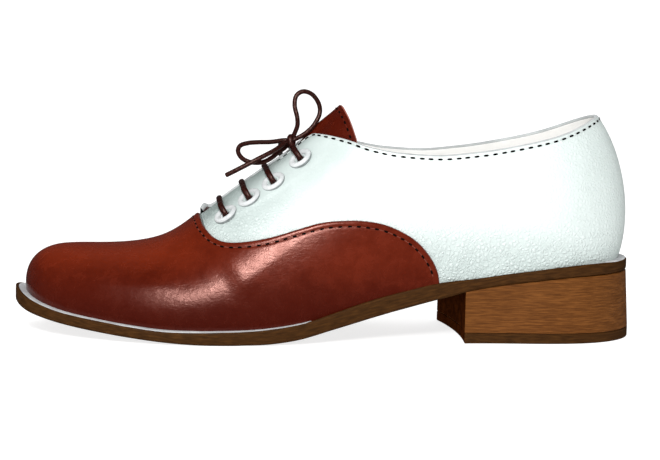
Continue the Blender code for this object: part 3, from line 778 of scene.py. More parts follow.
def brown_leather():
    """Polished reddish brown calf, mottled, with painted shade low down giving way to painted light higher up
    and on the top of the toe, and fine wrinkles in its grain.
    """
    look = Finish("brown_leather", Specular_IOR_Level=0.42, Specular_Tint=(1.0, 0.54, 0.46, 1.0))
    x, z = look.axis("X"), look.axis("Z")
    fine = look.noise(170.0, 6.0, 0.65, 0.4)
    mottle = look.add(look.times(look.noise(26.0, 5.0, 0.6, 0.8), 0.34), look.times(fine, 0.42))
    # painted shade low down giving way to painted light higher up, painted light on the toe's top, and the
    # brown a little darker again at the instep
    rise = look.span(z, *BROWN_PAINTED_SHADE_Z, 0.0, 0.36)
    toe = look.times(look.span(x, *TOE_PAINTED_LIGHT_X, 0.0, 0.32), look.span(z, *TOE_PAINTED_LIGHT_Z, 0.0, 1.0))
    height = look.math("SUBTRACT", look.add(rise, toe), look.span(z, *DARK_INSTEP_Z, 0.0, 0.2))
    look.colour(look.add(mottle, height), 0.28, 0.58, 1.0)
    look.polish(fine, 0.23, 0.29)
    wrinkles = look.noise(1.0, 4.0, 0.6, 0.6, look.stretched(look.place, 430.0, 640.0, 800.0))
    look.bump(look.add(look.times(wrinkles, 1.3), look.times(look.noise(1400.0, 2.0), 0.2)), 0.27, 0.2)
    return look.material


def white_leather():
    """White calf with painted shade along the facings, darker at the facing's edge, at the heel and low down,
    and pebbled grain at the last two.
    """
    look = Finish("white_leather", Specular_IOR_Level=0.45)
    x, z = look.axis("X"), look.axis("Z")
    # painted shade along the facings and darker at their edge, at the heel and low down, varied by a cloud of
    # noise
    behind = look.math("SUBTRACT", look.times(x, FACING_WAY[0]), look.times(z, FACING_WAY[1]))
    front = look.add(look.span(behind, *FACING_PAINTED_SHADE, 1.0, 0.0), look.span(behind, *EDGE_PAINTED_SHADE, 0.55, 0.0))
    heel = look.span(x, *HEEL_PAINTED_SHADE_X, 0.0, 0.66)
    low = look.span(z, *LOW_PAINTED_SHADE_Z, 0.0, 0.9)
    painted_shade = look.most(front, look.most(heel, low))
    edges = look.cell_edges(600.0, look.warped(260.0, 0.6))
    shown = look.add(look.most(look.times(heel, 0.6), low), 0.1)
    valleys = look.times(look.span(edges, 0.0, 0.34, 0.26, 0.0), shown)
    cloud = look.span(look.noise(45.0, 4.0, 0.6, 0.3), *PATCHES, 0.78, 0.98)
    tone = look.add(look.times(painted_shade, cloud), valleys)
    look.colour(look.times(tone, PAINTED_SHADE_STOP), 0.0, PAINTED_SHADE_STOP, 1.0)
    look.polish(look.noise(300.0), 0.32, 0.42)
    pebbles = look.add(look.span(edges, 0.0, 0.4, 0.0, 1.0), look.times(look.noise(900.0), 0.6))
    look.bump(look.times(pebbles, shown), 0.9, 0.42)
    return look.material


def lining_leather(name):
    """Matt leather of the inside and the insole, and of the rims: the collar's rim painted grey as shade, the
    tongue's rim painted lighter as a highlight.
    """
    look = Finish(name, Specular_IOR_Level=0.3)
    look.colour(look.noise(70.0, 5.0, 0.6), *PATCHES)
    look.polish(look.noise(400.0), 0.55, 0.7)
    look.bump(look.noise(900.0, 4.0), 0.2, 0.15)
    return look.material


def welt_leather():
    """White strip round the sole."""
    look = Finish("welt_leather", Specular_IOR_Level=0.4)
    look.colour(look.noise(150.0, 5.0), *PATCHES)
    look.polish(look.noise(300.0), 0.4, 0.55)
    look.bump(look.noise(1200.0, 3.0), 0.2, 0.1)
    return look.material


def stacked(name, along, across, gloss, depth=0.1, by_run=False):
    """Stained stacked leather with fine lines, level or by its run, so many in a metre along and across."""
    look = Finish(name, Specular_IOR_Level=gloss)
    if by_run:
        lines = look.stretched(look.run(), along, across, 1.0)
    else:
        lines = look.stretched(look.place, along, along, across)
    fine = look.noise(1.0, 4.0, 0.6, 0.2, lines)
    look.colour(fine, 0.34, 0.5, 0.66)
    look.polish(fine, 0.45, 0.65)
    look.bump(fine, 0.5, depth)
    return look.material


def lace_cord():
    """Dark woven lace with a braid running round it."""
    look = Finish("lace_cord", Specular_IOR_Level=0.42, Specular_Tint=(1.0, 0.66, 0.58, 1.0))
    parts = look.node("ShaderNodeSeparateXYZ", {0: look.run()})
    along = look.times(parts.outputs["X"], BRAID_ALONG)
    turn = look.times(parts.outputs["Y"], BRAID_TURNS * np.pi * 2.0)
    braid = look.most(*[look.math("SINE", look.math(way, along, turn), 0.0) for way in ("ADD", "SUBTRACT")])
    look.colour(look.span(braid, -0.6, 1.0, 0.0, 1.0), 0.0, 1.0)
    look.set("Roughness", look.span(braid, -0.5, 1.0, 0.5, 0.3))
    look.bump(braid, 0.35, 0.08)
    return look.material


def enamel(name):
    """Glossy enamel of the eyelets."""
    look = Finish(name, Specular_IOR_Level=0.5, Coat_Weight=0.4, Coat_Roughness=0.08)
    look.colour(look.noise(220.0), *PATCHES)
    look.polish(look.noise(500.0), 0.2, 0.32)
    return look.material


def thread(name):
    """Waxed thread."""
    look = Finish(name, Specular_IOR_Level=0.0)
    look.colour(look.noise(2500.0), *PATCHES)
    look.polish(look.noise(1500.0), 0.45, 0.65)
    return look.material


# Upper

def lining_rows(places, edges, inset):
    """Distances and shares down each rib of the lining, closer at its edge."""
    steps = np.linspace(0.0, 1.0, LINING_ROWS) ** EDGE_CROWD
    down = inset[:, None] + (rib_lengths(places, edges) - inset)[:, None] * steps
    return down, shares_below(places, edges, down)


def upper_places():
    """Ribs round the foot, with two exactly at the throat and more of them at the back seam."""
    even = np.linspace(0.0, 2.0, UPPER_COLUMNS, endpoint=False)
    seam = [1.0 + way * step for step in SEAM_STEPS for way in (-1, 1)]
    added = np.unique([THROAT, 2.0 - THROAT, *seam])
    clear = np.abs(even[:, None] - added).min(1) > 0.3 / UPPER_COLUMNS
    return np.sort(np.concatenate([even[clear], added]))


def eyestay_edge(places):
    """How far down each rib the eyestay's edge lies; it comes down from the front of the throat."""
    return EYESTAY_WIDE * smooth_step(LAST["top_x"](places), *EYESTAY_FRONT)


def upper_rows(places, edges, inset):
    """Distances and shares down each rib, with a pair of rows at the eyestay's edge."""
    length = rib_lengths(places, edges)
    edge = np.where(is_open(places), eyestay_edge(places), length / 2)
    edge = np.maximum(edge, inset + 2 * EYESTAY_SLOPE)
    above = np.linspace(0.0, 1.0, EYESTAY_ROWS) ** EDGE_CROWD
    below = np.linspace(0.0, 1.0, UPPER_ROWS - EYESTAY_ROWS)
    high = inset[:, None] + (edge - EYESTAY_SLOPE - inset)[:, None] * above
    low = edge[:, None] + EYESTAY_SLOPE + (length - edge - EYESTAY_SLOPE)[:, None] * below
    down = np.concatenate([high, low], 1)
    return down, shares_below(places, edges, down)


def upper_relief(places, down):
    """Height of the quarter's face: eyestay under the eyelets, collar's stitch groove and back seam."""
    ridge_x = LAST["top_x"](places)[:, None]
    edge = eyestay_edge(places)[:, None]
    opened = is_open(places)[:, None]
    fade = (1.0 - smooth_step(ridge_x, *EYESTAY_BACK)) * opened
    height = EYESTAY_RISE * fade * (1.0 - smooth_step(down, edge - EYESTAY_SLOPE, edge + EYESTAY_SLOPE))
    sewn = (ridge_x > COLLAR_STITCH_FROM) & opened
    height += np.where(sewn, stitch_groove(down, COLLAR_STITCH), 0.0)
    from_seam = np.abs(skin(places, 0.5)[:, 1])[:, None]
    at_back = np.abs(places - 1.0)[:, None] < SEAM_REACH
    return height - np.where(at_back, SEAM_DEPTH * np.exp(-(from_seam / SEAM_WIDE) ** 2), 0.0)


def flap_lift(places, down):
    """Upward shift of the inner facing's front corner, which stands up a little at the throat."""
    along = (LAST["top_x"](places)[:, None] - FLAP_AT) / FLAP_LONG
    shift = np.zeros((*down.shape, 3))
    inner = is_open(places)[:, None] & (places[:, None] > 1.0)
    shift[..., 2] = np.where(inner, FLAP_HIGH * np.exp(-along ** 2 - (down / FLAP_DEEP) ** 2), 0.0)
    return shift


def rim_points(place, share, inset):
    """Half round from the outer to the inner face at the end of a rib."""
    at = skin(place, share)
    out = skin_normal(place, share)
    ahead = skin(place, share + RIM_AHEAD) - at
    ahead = unit(ahead - (ahead * out).sum(-1, keepdims=True) * out)
    turn = np.linspace(0.0, np.pi, RIM_STEPS)[None, :, None]
    middle = (at - out * inset)[:, None]
    return middle + inset * (np.cos(turn) * out[:, None] + np.sin(turn) * ahead[:, None])


def make_upper(white, lining, rim_painted_light):
    """Both quarters and the lining under the vamp as one wall with round edges, the rolled edge painted grey
    as shade.
    """
    places = upper_places()
    edges = quarter_share(places)
    opened = is_open(places)
    inset = np.where(opened, WALL / 2, 0.0)
    down, outer = upper_rows(places, edges, inset)
    inner_down, inner = lining_rows(places, edges, inset)
    column = places[:, None]
    face = offset_skin(column, outer, upper_relief(places, down)) + flap_lift(places, down)
    back = offset_skin(column, inner, -WALL) + flap_lift(places, inner_down)
    face, back = (np.concatenate([side, side[:, -1:] - TUCK], 1) for side in (face, back))
    rim = rim_points(places[opened], outer[opened, 0], WALL / 2) + flap_lift(places[opened], down[opened, :1])
    rim[:, 0], rim[:, -1] = face[opened, 0], back[opened, 0]
    shape = Shape()
    shape.grid(face, 0, around=True)
    shape.grid(back, 1, around=True)
    shape.grid(np.stack([face[:, -1], back[:, -1]], 1), 1, around=True)
    # the rolled edge, painted grey as shade
    shape.grid(rim, 2)
    return shape.build("upper_quarters", [white, lining, rim_painted_light])


# Sole

def raised(plan, height):
    """Points of a plan at a height given by x."""
    return np.concatenate([plan, height(plan[:, 0])[:, None]], -1)


def loop_points(grow, height):
    """A closed loop round the sole: the feather line grown in plan, at a height given by x."""
    places = np.linspace(0.0, 2.0, SOLE_STEPS, endpoint=False)
    return raised(sole_edge(places, grow(LAST["x"](places))), height)


def rung_grid(loop, across):
    """A grid of points between the two sides of a loop."""
    half = len(loop) // 2
    outer = loop[:half + 1]
    inner = loop[-np.arange(half + 1)]
    share = np.linspace(0.0, 1.0, across)[None, :, None]
    return outer[:, None] * (1 - share) + inner[:, None] * share


def lay_run(piece, along, up):
    """Gives every corner of a piece its run along and height up, in metres, from its x, y and z."""
    mesh = piece.data
    layer = mesh.uv_layers.new(name="run")
    spots = np.empty(3 * len(mesh.vertices))
    mesh.vertices.foreach_get("co", spots)
    x, y, z = spots.reshape(-1, 3).T
    corners = np.empty(len(mesh.loops), int)
    mesh.loops.foreach_get("vertex_index", corners)
    layer.data.foreach_set("uv", np.stack([along(x, y), up(x, z)], -1)[corners].ravel())


def make_outsole(look):
    """Leather sole whose edge covers most of the welt."""
    def rim_top(x):
        return welt_top(x) - welt_show(x)

    def underside(x):
        return ground(x) - sole_drop(x)

    rows = [loop_points(lambda x: sole_margin(x) - inset, lambda x: base(x) + lift)
            for base, table in ((rim_top, SOLE_RIM), (underside, SOLE_FOOT)) for inset, lift in table]
    shape = Shape()
    shape.grid(np.stack(rows, 1), 0, around=True)
    for row, columns in zip((rows[0], rows[-1]), SOLE_COLUMNS):
        shape.grid(rung_grid(row, columns))
    piece = shape.build("outsole_edge", [look])
    lay_run(piece, lambda x, y: x + 0.5 * np.abs(y), lambda x, z: z - ground(x / MM) * MM)
    return piece


def make_welt(look):
    """White strip under the upper, seen round the forepart and at the back of the seat."""
    def reach(x):
        front, back = WELT_ENDS
        shown = 1.0 - smooth_step(x, front - WELT_ENDS_SOFT, front + WELT_ENDS_SOFT)
        shown = shown + smooth_step(x, back - WELT_ENDS_SOFT, back + WELT_ENDS_SOFT)
        step = WELT_STEP + WELT_TOE_STEP * (1.0 - smooth_step(x, *WELT_TOE))
        return WELT_HIDDEN + (sole_margin(x) - step - WELT_HIDDEN) * shown

    rows = [(reach, more, rise) for more, rise in WELT_EDGE]
    rows += [(level(-WALL), 0.0, 1.0), (level(-WALL), 0.0, 0.0)]
    loops = [loop_points(lambda x: grow(x) + more, lambda x: sole_top(x) + rise * (GAP + WELT_THICK))
             for grow, more, rise in rows]
    shape = Shape()
    shape.grid(np.stack(loops, 1), 0, around=True, across=True)
    return shape.build("welt_strip", [look])


def make_insole(look):
    """Footbed that cups a little towards its edge."""
    edge = -WALL - INSOLE_CLEAR
    inset, drop = INSOLE_ROUND
    rows = ((edge - inset, INSOLE_THICK), (edge, INSOLE_THICK - drop), (edge, 0.0))
    loops = [loop_points(level(grow), lambda x: sole_top(x) + GAP + lift) for grow, lift in rows]
    bed = rung_grid(loops[0], INSOLE_COLUMNS)
    bed[..., 2] += INSOLE_DISH * (np.linspace(-1.0, 1.0, INSOLE_COLUMNS) ** 2 - 1.0)
    shape = Shape()
    shape.grid(bed, 0)
    shape.grid(np.stack(loops, 1), 0, around=True)
    shape.grid(rung_grid(loops[-1], 2), 0)
    return shape.build("insole_bed", [look])


def heel_loop(inset, flare, height):
    """Outline of the heel: round the back from breast to breast, then across the hollow front."""
    start = place_of("x", HEEL_BREAST_X)
    end = 2.0 - place_of("x", HEEL_BREAST_X - HEEL_BREAST_SKEW)
    places = np.linspace(start, end, HEEL_STEPS)
    x = LAST["x"](places)
    grow = sole_margin(x) - inset + flare * smooth_step(x, HEEL_BREAST_X, HEEL_FLARE_END_X)
    back = sole_edge(places, grow)
    across = np.linspace(1.0, -1.0, BREAST_STEPS)[1:-1, None]
    front = back[-1] * (1 + across) / 2 + back[0] * (1 - across) / 2
    front[:, 0] += HEEL_BREAST_HOLLOW * (1 - across[:, 0] ** 2)
    return raised(np.concatenate([back, front]), height)


def heel_layer(name, low, high, rows, side, front):
    """One layer of the heel between two outlines, with softened edges."""
    share = np.linspace(0.0, 1.0, rows)[None, :, None]
    shape = Shape()
    shape.grid(low[:, None] * (1 - share) + high[:, None] * share, 0, around=True)
    shape.cap(low)
    shape.cap(high)
    piece = shape.build(name, [side, front], HEEL_SHARP)
    for face in piece.data.polygons:
        if face.normal.x < BREAST_FACING:
            face.material_index = 1
    soft = piece.modifiers.new("soft edge", "BEVEL")
    soft.width = HEEL_SOFT * MM
    soft.segments = 3
    soft.limit_method = "ANGLE"
    soft.angle_limit = np.radians(HEEL_SHARP)
    return piece


def make_heel(stack, lift, breast):
    """Stacked heel and the top lift under it."""
    foot = HEEL_INSET - HEEL_FLARE
    floor, seam, above = (heel_loop(foot, HEEL_BACK_FLARE, level(z))
                          for z in (0.0, LIFT_THICK, LIFT_THICK + HEEL_SEAM))
    top = heel_loop(HEEL_INSET, HEEL_TOP_FLARE, lambda x: ground(x) + HEEL_SINK)
    block = heel_layer("heel_stack", above, top, HEEL_ROWS, stack, breast)
    wear = heel_layer("heel_lift", floor, seam, LIFT_ROWS, lift, breast)
    lay_run(wear, lambda x, y: x + np.abs(y), lambda x, z: z)
    return block, wear


# Vamp

def side_place(place, outer_side):
    return place if outer_side else 2.0 - place


def vamp_edge_line(outer_side):
    """Place and share along the vamp's edge, evenly from the ridge to its end at the feather line."""
    behind = np.linspace(THROAT, VAMP_END, EDGE_SAMPLES)
    shares = vamp_share(side_place(behind, outer_side))
    down = np.linspace(1.0, shares[0], THROAT_SAMPLES, endpoint=False)
    places = np.concatenate([np.full_like(down, THROAT), behind])
    shares = np.concatenate([down, shares])
    shares[-1] = 0.0
    run = run_of(skin(side_place(places, outer_side), shares))
    even = np.linspace(0.0, run[-1], VAMP_EDGE_LINES)
    line = read_along(even, run, np.stack([places, shares], -1))
    lead = 2 * line[:1] - line[EDGE_SOFT:0:-1]
    tail = 2 * line[-1:] - line[-2:-EDGE_SOFT - 2:-1]
    kernel = np.exp(-0.5 * (np.arange(-EDGE_SOFT, EDGE_SOFT + 1) / (EDGE_SOFT / 2.5)) ** 2)
    padded = np.concatenate([lead, line, tail])
    return np.stack([np.convolve(column, kernel / kernel.sum(), "valid") for column in padded.T], -1)


def edge_points(edge, outer_side):
    """Close points along the vamp's edge."""
    return smooth_route(skin(side_place(edge[:, 0], outer_side), edge[:, 1]), EDGE_STEP)


def vamp_grid(edge, rows, outer_side):
    """Place and share over half of the vamp, in lines from its ridge and edge to the feather line."""
    ridge = np.linspace(0.0, THROAT, VAMP_RIDGE_LINES, endpoint=False)
    tops = np.concatenate([np.stack([ridge, np.ones_like(ridge)], -1), edge])
    turn = THROAT - VAMP_FAN
    feet = np.concatenate([np.linspace(0.0, turn, VAMP_RIDGE_LINES, endpoint=False),
                           np.linspace(turn, VAMP_END, len(edge))])
    t = np.linspace(0.0, 1.0, rows)[None, :] ** VAMP_CROWD
    place = tops[:, :1] * (1 - t) + feet[:, None] * t
    return side_place(place, outer_side), tops[:, 1:] * (1 - t)


def nearest_on(points, line):
    """Distance of each point from a line of close points, and the number of the nearest of them."""
    tree = tree_of(line)
    found = np.array([tree.find(point)[1:] for point in points.reshape(-1, 3)])
    return found[:, 1].reshape(points.shape[:-1]), found[:, 0].reshape(points.shape[:-1])


def stitch_groove(distance, inset):
    return -GROOVE_DEPTH * np.exp(-((distance - inset) / GROOVE_WIDE) ** 2)


def vamp_height(distance):
    """Height of the vamp's face over the quarter, with its rolled edge and stitch groove."""
    near = 1.0 - np.clip(distance / EDGE_ROUND, 0.0, 1.0)
    rolled = (GAP + VAMP_THICK + VAMP_SINK) * np.sqrt(1 - near ** 2)
    return rolled - VAMP_SINK + stitch_groove(distance, VAMP_STITCH)


def crease_height(points, outer_side):
    """Soft troughs and ridges of one side of the vamp, fading out at the ends of each line."""
    total = np.zeros(points.shape[:-1])
    for crease in CREASES:
        place, share = np.array(crease.line).T
        line = smooth_route(skin(side_place(place, outer_side), share))
        distance, nearest = nearest_on(points, line)
        taper = smooth_step(np.minimum(nearest, len(line) - 1 - nearest), 0.0, CREASE_TAPER * len(line))
        form = np.exp(-(distance / crease.wide) ** 2)
        if crease.step:
            behind = points[..., 0] - line[nearest.astype(int), 0]
            form = smooth_step(behind, -crease.wide / 2, crease.wide / 2)
            form = form * np.exp(-(distance / STEP_FADE) ** 2)
        total += crease.high * taper * form
    return total


def make_vamp(look):
    """Brown overlay with a rolled edge; returns it with its two edge lines."""
    edges = {side: vamp_edge_line(side) for side in (True, False)}
    fine = np.concatenate([edge_points(edge, side) for side, edge in edges.items()])
    shape = Shape()
    for side, edge in edges.items():
        place, share = vamp_grid(edge, VAMP_ROWS, side)
        flat = skin(place, share)
        height = vamp_height(nearest_on(flat, fine)[0]) + crease_height(flat, side)
        face = offset_skin(place, share, height)
        under = offset_skin(*vamp_grid(edge, VAMP_UNDER_ROWS, side), VAMP_UNDER)
        under[VAMP_RIDGE_LINES:, 0] = face[VAMP_RIDGE_LINES:, 0]
        foot = face[:, -1:] - TUCK
        for layer in (face, under):
            shape.grid(np.concatenate([layer, foot], 1))
    return shape.build("vamp_overlay", [look]), edges


# Tongue

def border(grid, inset=0):
    """Closed line of points round a grid, some rows in from its edge."""
    far = -1 - inset
    return np.concatenate([grid[:, inset], grid[far, 1:], grid[-2::-1, far], grid[inset, -2:0:-1]])


def make_tongue(look, rim_painted_light):
    """Tongue under the facings, with a bowed end and its rim painted lighter as a highlight; returns it with
    its stitch line and the ways out there.
    """
    start = place_of("top_x", TONGUE_FRONT_X)
    half = np.linspace(TONGUE_LOW_SHARE, 1.0, TONGUE_COLUMNS)
    shares = np.concatenate([half, half[-2::-1]])
    bulge = TONGUE_BULGE * np.sin(np.maximum((1.0 - shares) / (1.0 - TONGUE_LOW_SHARE), 0.5) * np.pi)
    ends = np.array([place_of("top_x", TONGUE_END_X + more) for more in bulge])
    along = 1.0 - np.linspace(1.0, 0.0, TONGUE_ROWS)[:, None] ** TONGUE_CROWD
    places = start + (ends - start) * along
    places = np.where(np.arange(len(shares)) < len(half), places, 2.0 - places)
    spread = np.broadcast_to(shares, places.shape)
    aside = skin(places, spread)[..., 1] / TONGUE_SWELL_WIDE
    past = (LAST["top_x"](places) - TONGUE_SWELL_X) / TONGUE_SWELL_LONG
    depth = TONGUE_SWELL * np.exp(-aside ** 2 - past ** 2) - WALL - TONGUE_CLEAR
    face = offset_skin(places, spread, depth)
    back = offset_skin(places, spread, depth - TONGUE_THICK)
    rim_face, rim_back = border(face), border(back)
    middle = (rim_face + rim_back) / 2 + TONGUE_EDGE * unit(rim_face - border(face, 1))
    shape = Shape()
    shape.grid(face)
    shape.grid(back)
    # the rim, painted lighter as a highlight
    shape.grid(np.stack([rim_face, middle, rim_back], 1), 1, around=True)
    sewn = []
    for column in face.transpose(1, 0, 2):
        run = run_of(column)
        sewn.append(read_along(run[-1] - TONGUE_STITCH, run, column))
    return shape.build("tongue_leather", [look, rim_painted_light]), np.array(sewn), skin_normal(places[-1], shares)


# Eyelets and lace

def eyelet_seat(number, outer_side):
    """Place and share of an eyelet's centre."""
    place = side_place(place_of("top_x", EYELET_STATIONS[number]), outer_side)
    column = np.array([place])
    share = shares_below(column, quarter_share(column), [EYELET_FROM_EDGE[number]])
    return place, float(share[0])


def eyelet_frames():
    """Name, centre and outward turn of every eyelet."""
    for name, side in (("lateral", True), ("medial", False)):
        for number in range(len(EYELET_STATIONS)):
            place, share = eyelet_seat(number, side)
            out = skin_normal(place, share)
            along = skin(place + EYELET_SPAN, share) - skin(place - EYELET_SPAN, share)
            uphill = unit(np.cross(out, along)) * (1.0 if side else -1.0)
            turn = np.stack([np.cross(uphill, out), uphill, out], -1)
            yield f"{name}_{number + 1}", skin(place, share), turn


def turned_ring(section, steps=RING_STEPS):
    """A ring turned from (radius, height) pairs round Z."""
    turn = full_turn(steps)[:, None]
    radius, height = np.array(section, float).T
    across = (radius * np.cos(turn), radius * np.sin(turn))
    return np.stack([*across, np.broadcast_to(height, (steps, len(radius)))], -1)


def eyelet_section():
    """Section of an eyelet: a bead round a flat web, with a barrel down through the leather."""
    half = (EYELET_RADIUS - EYELET_BEAD) / 2
    middle = EYELET_BEAD + half
    dome = [(middle + half * np.cos(a), EYELET_HEIGHT * np.sin(a) ** EYELET_DOME)
            for a in np.linspace(0.0, np.pi, DOME_POINTS)]
    foot = -WALL - EYELET_MOUTH
    outside = EYELET_HOLE + BARREL_THICK
    return dome + [(EYELET_HOLE + EYELET_SINK, 0.0), (EYELET_HOLE, -EYELET_MOUTH), (EYELET_HOLE, foot),
                   (outside, foot), (outside, -EYELET_SINK), (EYELET_RADIUS - EYELET_SINK, -EYELET_SINK)]


def make_eyelets(look, foot):
    """White rings along both facings, with a painted grey shadow where their outer edge meets the leather."""
    section = turned_ring(eyelet_section()) * (1.0, EYELET_OVAL, 1.0)
    lower = (1.0 - section[..., 1] / np.hypot(section[..., 0], section[..., 1])) / 2
    section[..., 2] *= np.where(section[..., 2] > 0, EYELET_LOW + (1.0 - EYELET_LOW) * lower, 1.0)
    for name, centre, turn in eyelet_frames():
        ring = section @ turn.T + centre
        shape = Shape()
        # the outer edge, painted grey as a shadow where it meets the leather
        shape.grid(ring[:, :EYELET_PAINTED_SHADOW], 1, around=True)
        shape.grid(np.concatenate([ring[:, EYELET_PAINTED_SHADOW - 1:], ring[:, :1]], 1), 0, around=True)
        dress(shape.build(f"eyelet_ring_{name}", [look, foot]), "eyelet", f"eyelet_{name}")


def punch_eyelets(upper):
    """Cuts the eyelet holes through the quarters."""
    shape = Shape()
    hole = turned_ring([(EYELET_HOLE + PUNCH_CLEAR, end) for end in PUNCH_ENDS], PUNCH_STEPS)
    for _, centre, turn in eyelet_frames():
        wall = hole @ turn.T + centre
        shape.grid(wall, 0, around=True)
        shape.cap(wall[:, 0])
        shape.cap(wall[:, 1])
    punch = shape.build("punch", [])
    cut = upper.modifiers.new("eyelet holes", "BOOLEAN")
    cut.operation = "DIFFERENCE"
    cut.object = punch
    graph = bpy.context.evaluated_depsgraph_get()
    holed = bpy.data.meshes.new_from_object(upper.evaluated_get(graph))
    upper.modifiers.clear()
    upper.data = holed
    bpy.data.objects.remove(punch)


def tube(name, path, look, radius, side=(0.3, 0.5, 0.8), flat=1.0, closed=False):
    """A cord along a path, flattened along side if asked, with length and turn as its coordinates."""
    ahead = np.gradient(path, axis=0)
    if closed:
        ahead = np.roll(path, -1, axis=0) - np.roll(path, 1, axis=0)
    ahead = unit(ahead)
    carried = []
    for way in ahead:
        side = unit(side - way * np.dot(side, way))
        carried.append(side)
    carried = np.array(carried)
    turn = full_turn(CORD_SIDES)[None, :, None]
    other = np.cross(ahead, carried)[:, None]
    rings = path[:, None] + radius * (flat * np.cos(turn) * carried[:, None] + np.sin(turn) * other)
    shape = Shape()
    if closed:
        shape.grid(rings, 0, around=True, across=True)
    else:
        long, wide = CORD_END
        ends = [path[k] + way * ahead[k] * long * radius + wide * (rings[k] - path[k])
                for k, way in ((0, -1), (-1, 1))]
        rings = np.concatenate([ends[:1], rings, ends[1:]])
        shape.rod(rings)
    piece = shape.build(name, [look], THREAD_SHARP)
    lay_turns(piece, rings)
    return piece


def lay_turns(piece, rings):
    """Gives a tube's faces their length in metres and their share of a turn."""
    run = run_of(rings.mean(1)) * MM
    sides = rings.shape[1]
    tree = tree_of(rings.reshape(-1, 3) * MM)
    mesh = piece.data
    layer = mesh.uv_layers.new(name="run")
    found = [tree.find(vertex.co)[1] for vertex in mesh.vertices]
    for face in mesh.polygons:
        turns = [found[v] % sides / sides for v in face.vertices]
        wrap = max(turns) - min(turns) > 0.5
        for loop, vertex, turn in zip(face.loop_indices, face.vertices, turns):
            around = turn + 1.0 if wrap and turn < 0.5 else turn
            layer.data[loop].uv = (run[found[vertex] // sides], around)


def half_bar(number, outer_side):
    """Centre line of a bar from inside an eyelet up its rib to the ridge."""
    place, share = eyelet_seat(number, outer_side)
    shares = np.linspace(share, 1.0, BAR_POINTS)
    leather = skin(place, shares)
    line = leather + skin_normal(place, shares) * bar_height(run_of(leather))[:, None]
    down = skin(place, share) - np.array(BAR_DROP)[:, None] * skin_normal(place, share)
    return np.concatenate([down, line])


def make_bars(look):
    """Bars across the throat, the top one tied into the knot."""
    top = len(EYELET_STATIONS) - 1
    bars = []
    for number in range(top):
        half = half_bar(number, True)
        route = np.concatenate([half, half_bar(number, False)[-2::-1]])
        bars.append((f"lace_over_{number + 1}", f"lace_bar_{number + 1}", half, route))
    for name, side, sign in (("lateral", True, -1), ("medial", False, 1)):
        half = half_bar(top, side)
        route = half[sign * (half[:, 1] - KNOT_CENTRE[1]) > KNOT_CLEAR]
        route = np.concatenate([route, np.array(KNOT_CENTRE) + KNOT_WRAP[name]])
        bars.append((f"lace_tied_{name}", f"lace_top_{name}", half, route))
    for name, node, half, route in bars:
        bar = tube(name, smooth_route(route), look, BAR_RADIUS, half[3] - half[2], BAR_FLAT)
        dress(bar, "lace", node)


def make_bow(look):
    """Knot, two loops and two ends."""
    turn = full_turn(RING_STEPS)
    wrap = np.stack([np.cos(turn), np.cos(turn), np.sin(turn)], -1) * KNOT_ROUND + KNOT_CENTRE
    knot = dress(tube("lace_knot_wrap", wrap, look, KNOT_RADIUS, closed=True), "lace", "lace_knot")
    inside = np.array(KNOT_CENTRE)
    cords = (("lace_loop_up", (*LOOP_UP, inside), "knot"), ("lace_loop_front", (*LOOP_FRONT, inside), "knot"),
             ("lace_end_front", END_FRONT, "bare"), ("lace_end_far", END_FAR, "bare"))
    for name, points, far_end in cords:
        path = smooth_route((inside, *points))
        piece = dress(tube(f"{name}_cord", path, look, LACE_RADIUS), "lace", name)
        run_of(path)[-1] * MM


# Stitches

def stitch_shape(long, wide, thick):
    """One stitch lying along X, as rings of points round its length."""
    length = np.linspace(-1.0, 1.0, STITCH_RINGS)[:, None]
    swell = np.sqrt(np.clip(1.0 - np.abs(length) ** 3.0, 0.04, None))
    turn = full_turn(STITCH_SIDES)
    sides = (swell * np.cos(turn) * wide / 2, swell * np.sin(turn) * thick / 2)
    return np.stack([np.broadcast_to(length * long / 2, sides[0].shape), *sides], -1)


def make_stitches(name, lines, looks, slot, size):
    """Dashes of thread along lines, and a thin thread under them, from points and ways out of the leather."""
    stitch = stitch_shape(*size)
    shape = Shape()
    turn = full_turn(THREAD_SIDES)[None, :, None]
    for points, normals in lines:
        run = run_of(points)
        even = np.linspace(0.0, run[-1], int(STITCH_SAMPLES * run[-1]))
        line, out = (read_along(even, run, values) for values in (points, normals))
        along = unit(np.gradient(line, axis=0))
        out = unit(out - along * (out * along).sum(1, keepdims=True))
        beside = np.cross(out, along)
        ring = np.cos(turn) * beside[:, None] + np.sin(turn) * out[:, None]
        shape.grid(line[:, None] + THREAD_RADIUS * ring, 1, across=True)
        count = int(run[-1] / STITCH_PITCH)
        for at in (np.arange(count) + 0.5) * (len(even) - 1) / count:
            k = int(round(at))
            shape.rod(stitch @ np.stack([along[k], beside[k], out[k]]) + line[k])
    dress(shape.build(name, looks, THREAD_SHARP), slot)


def vamp_stitch_line(edge, outer_side):
    """Points and normals along the vamp's stitches, a little inside its edge, from the ridge on."""
    lines = slice(VAMP_RIDGE_LINES, -STITCH_STOP)
    place, share = (part[lines] for part in vamp_grid(edge, STITCH_ROWS, outer_side))
    distance = nearest_on(skin(place, share), edge_points(edge, outer_side))[0]
    column = np.argmax(distance > VAMP_STITCH, axis=1)[:, None]
    place, share = (np.take_along_axis(part, column, 1)[:, 0] for part in (place, share))
    ridge = side_place(place_of("top_x", THROAT_X - VAMP_STITCH), outer_side)
    lead = np.linspace(0.0, 1.0, STITCH_LEAD, endpoint=False)
    place = np.concatenate([ridge + (place[0] - ridge) * lead, place])
    share = np.concatenate([TOP_SHARE + (share[0] - TOP_SHARE) * lead, share])
    lift = GAP + VAMP_THICK - GROOVE_DEPTH + VAMP_STITCH_LIFT + crease_height(skin(place, share), outer_side)
    return offset_skin(place, share, lift), skin_normal(place, share)


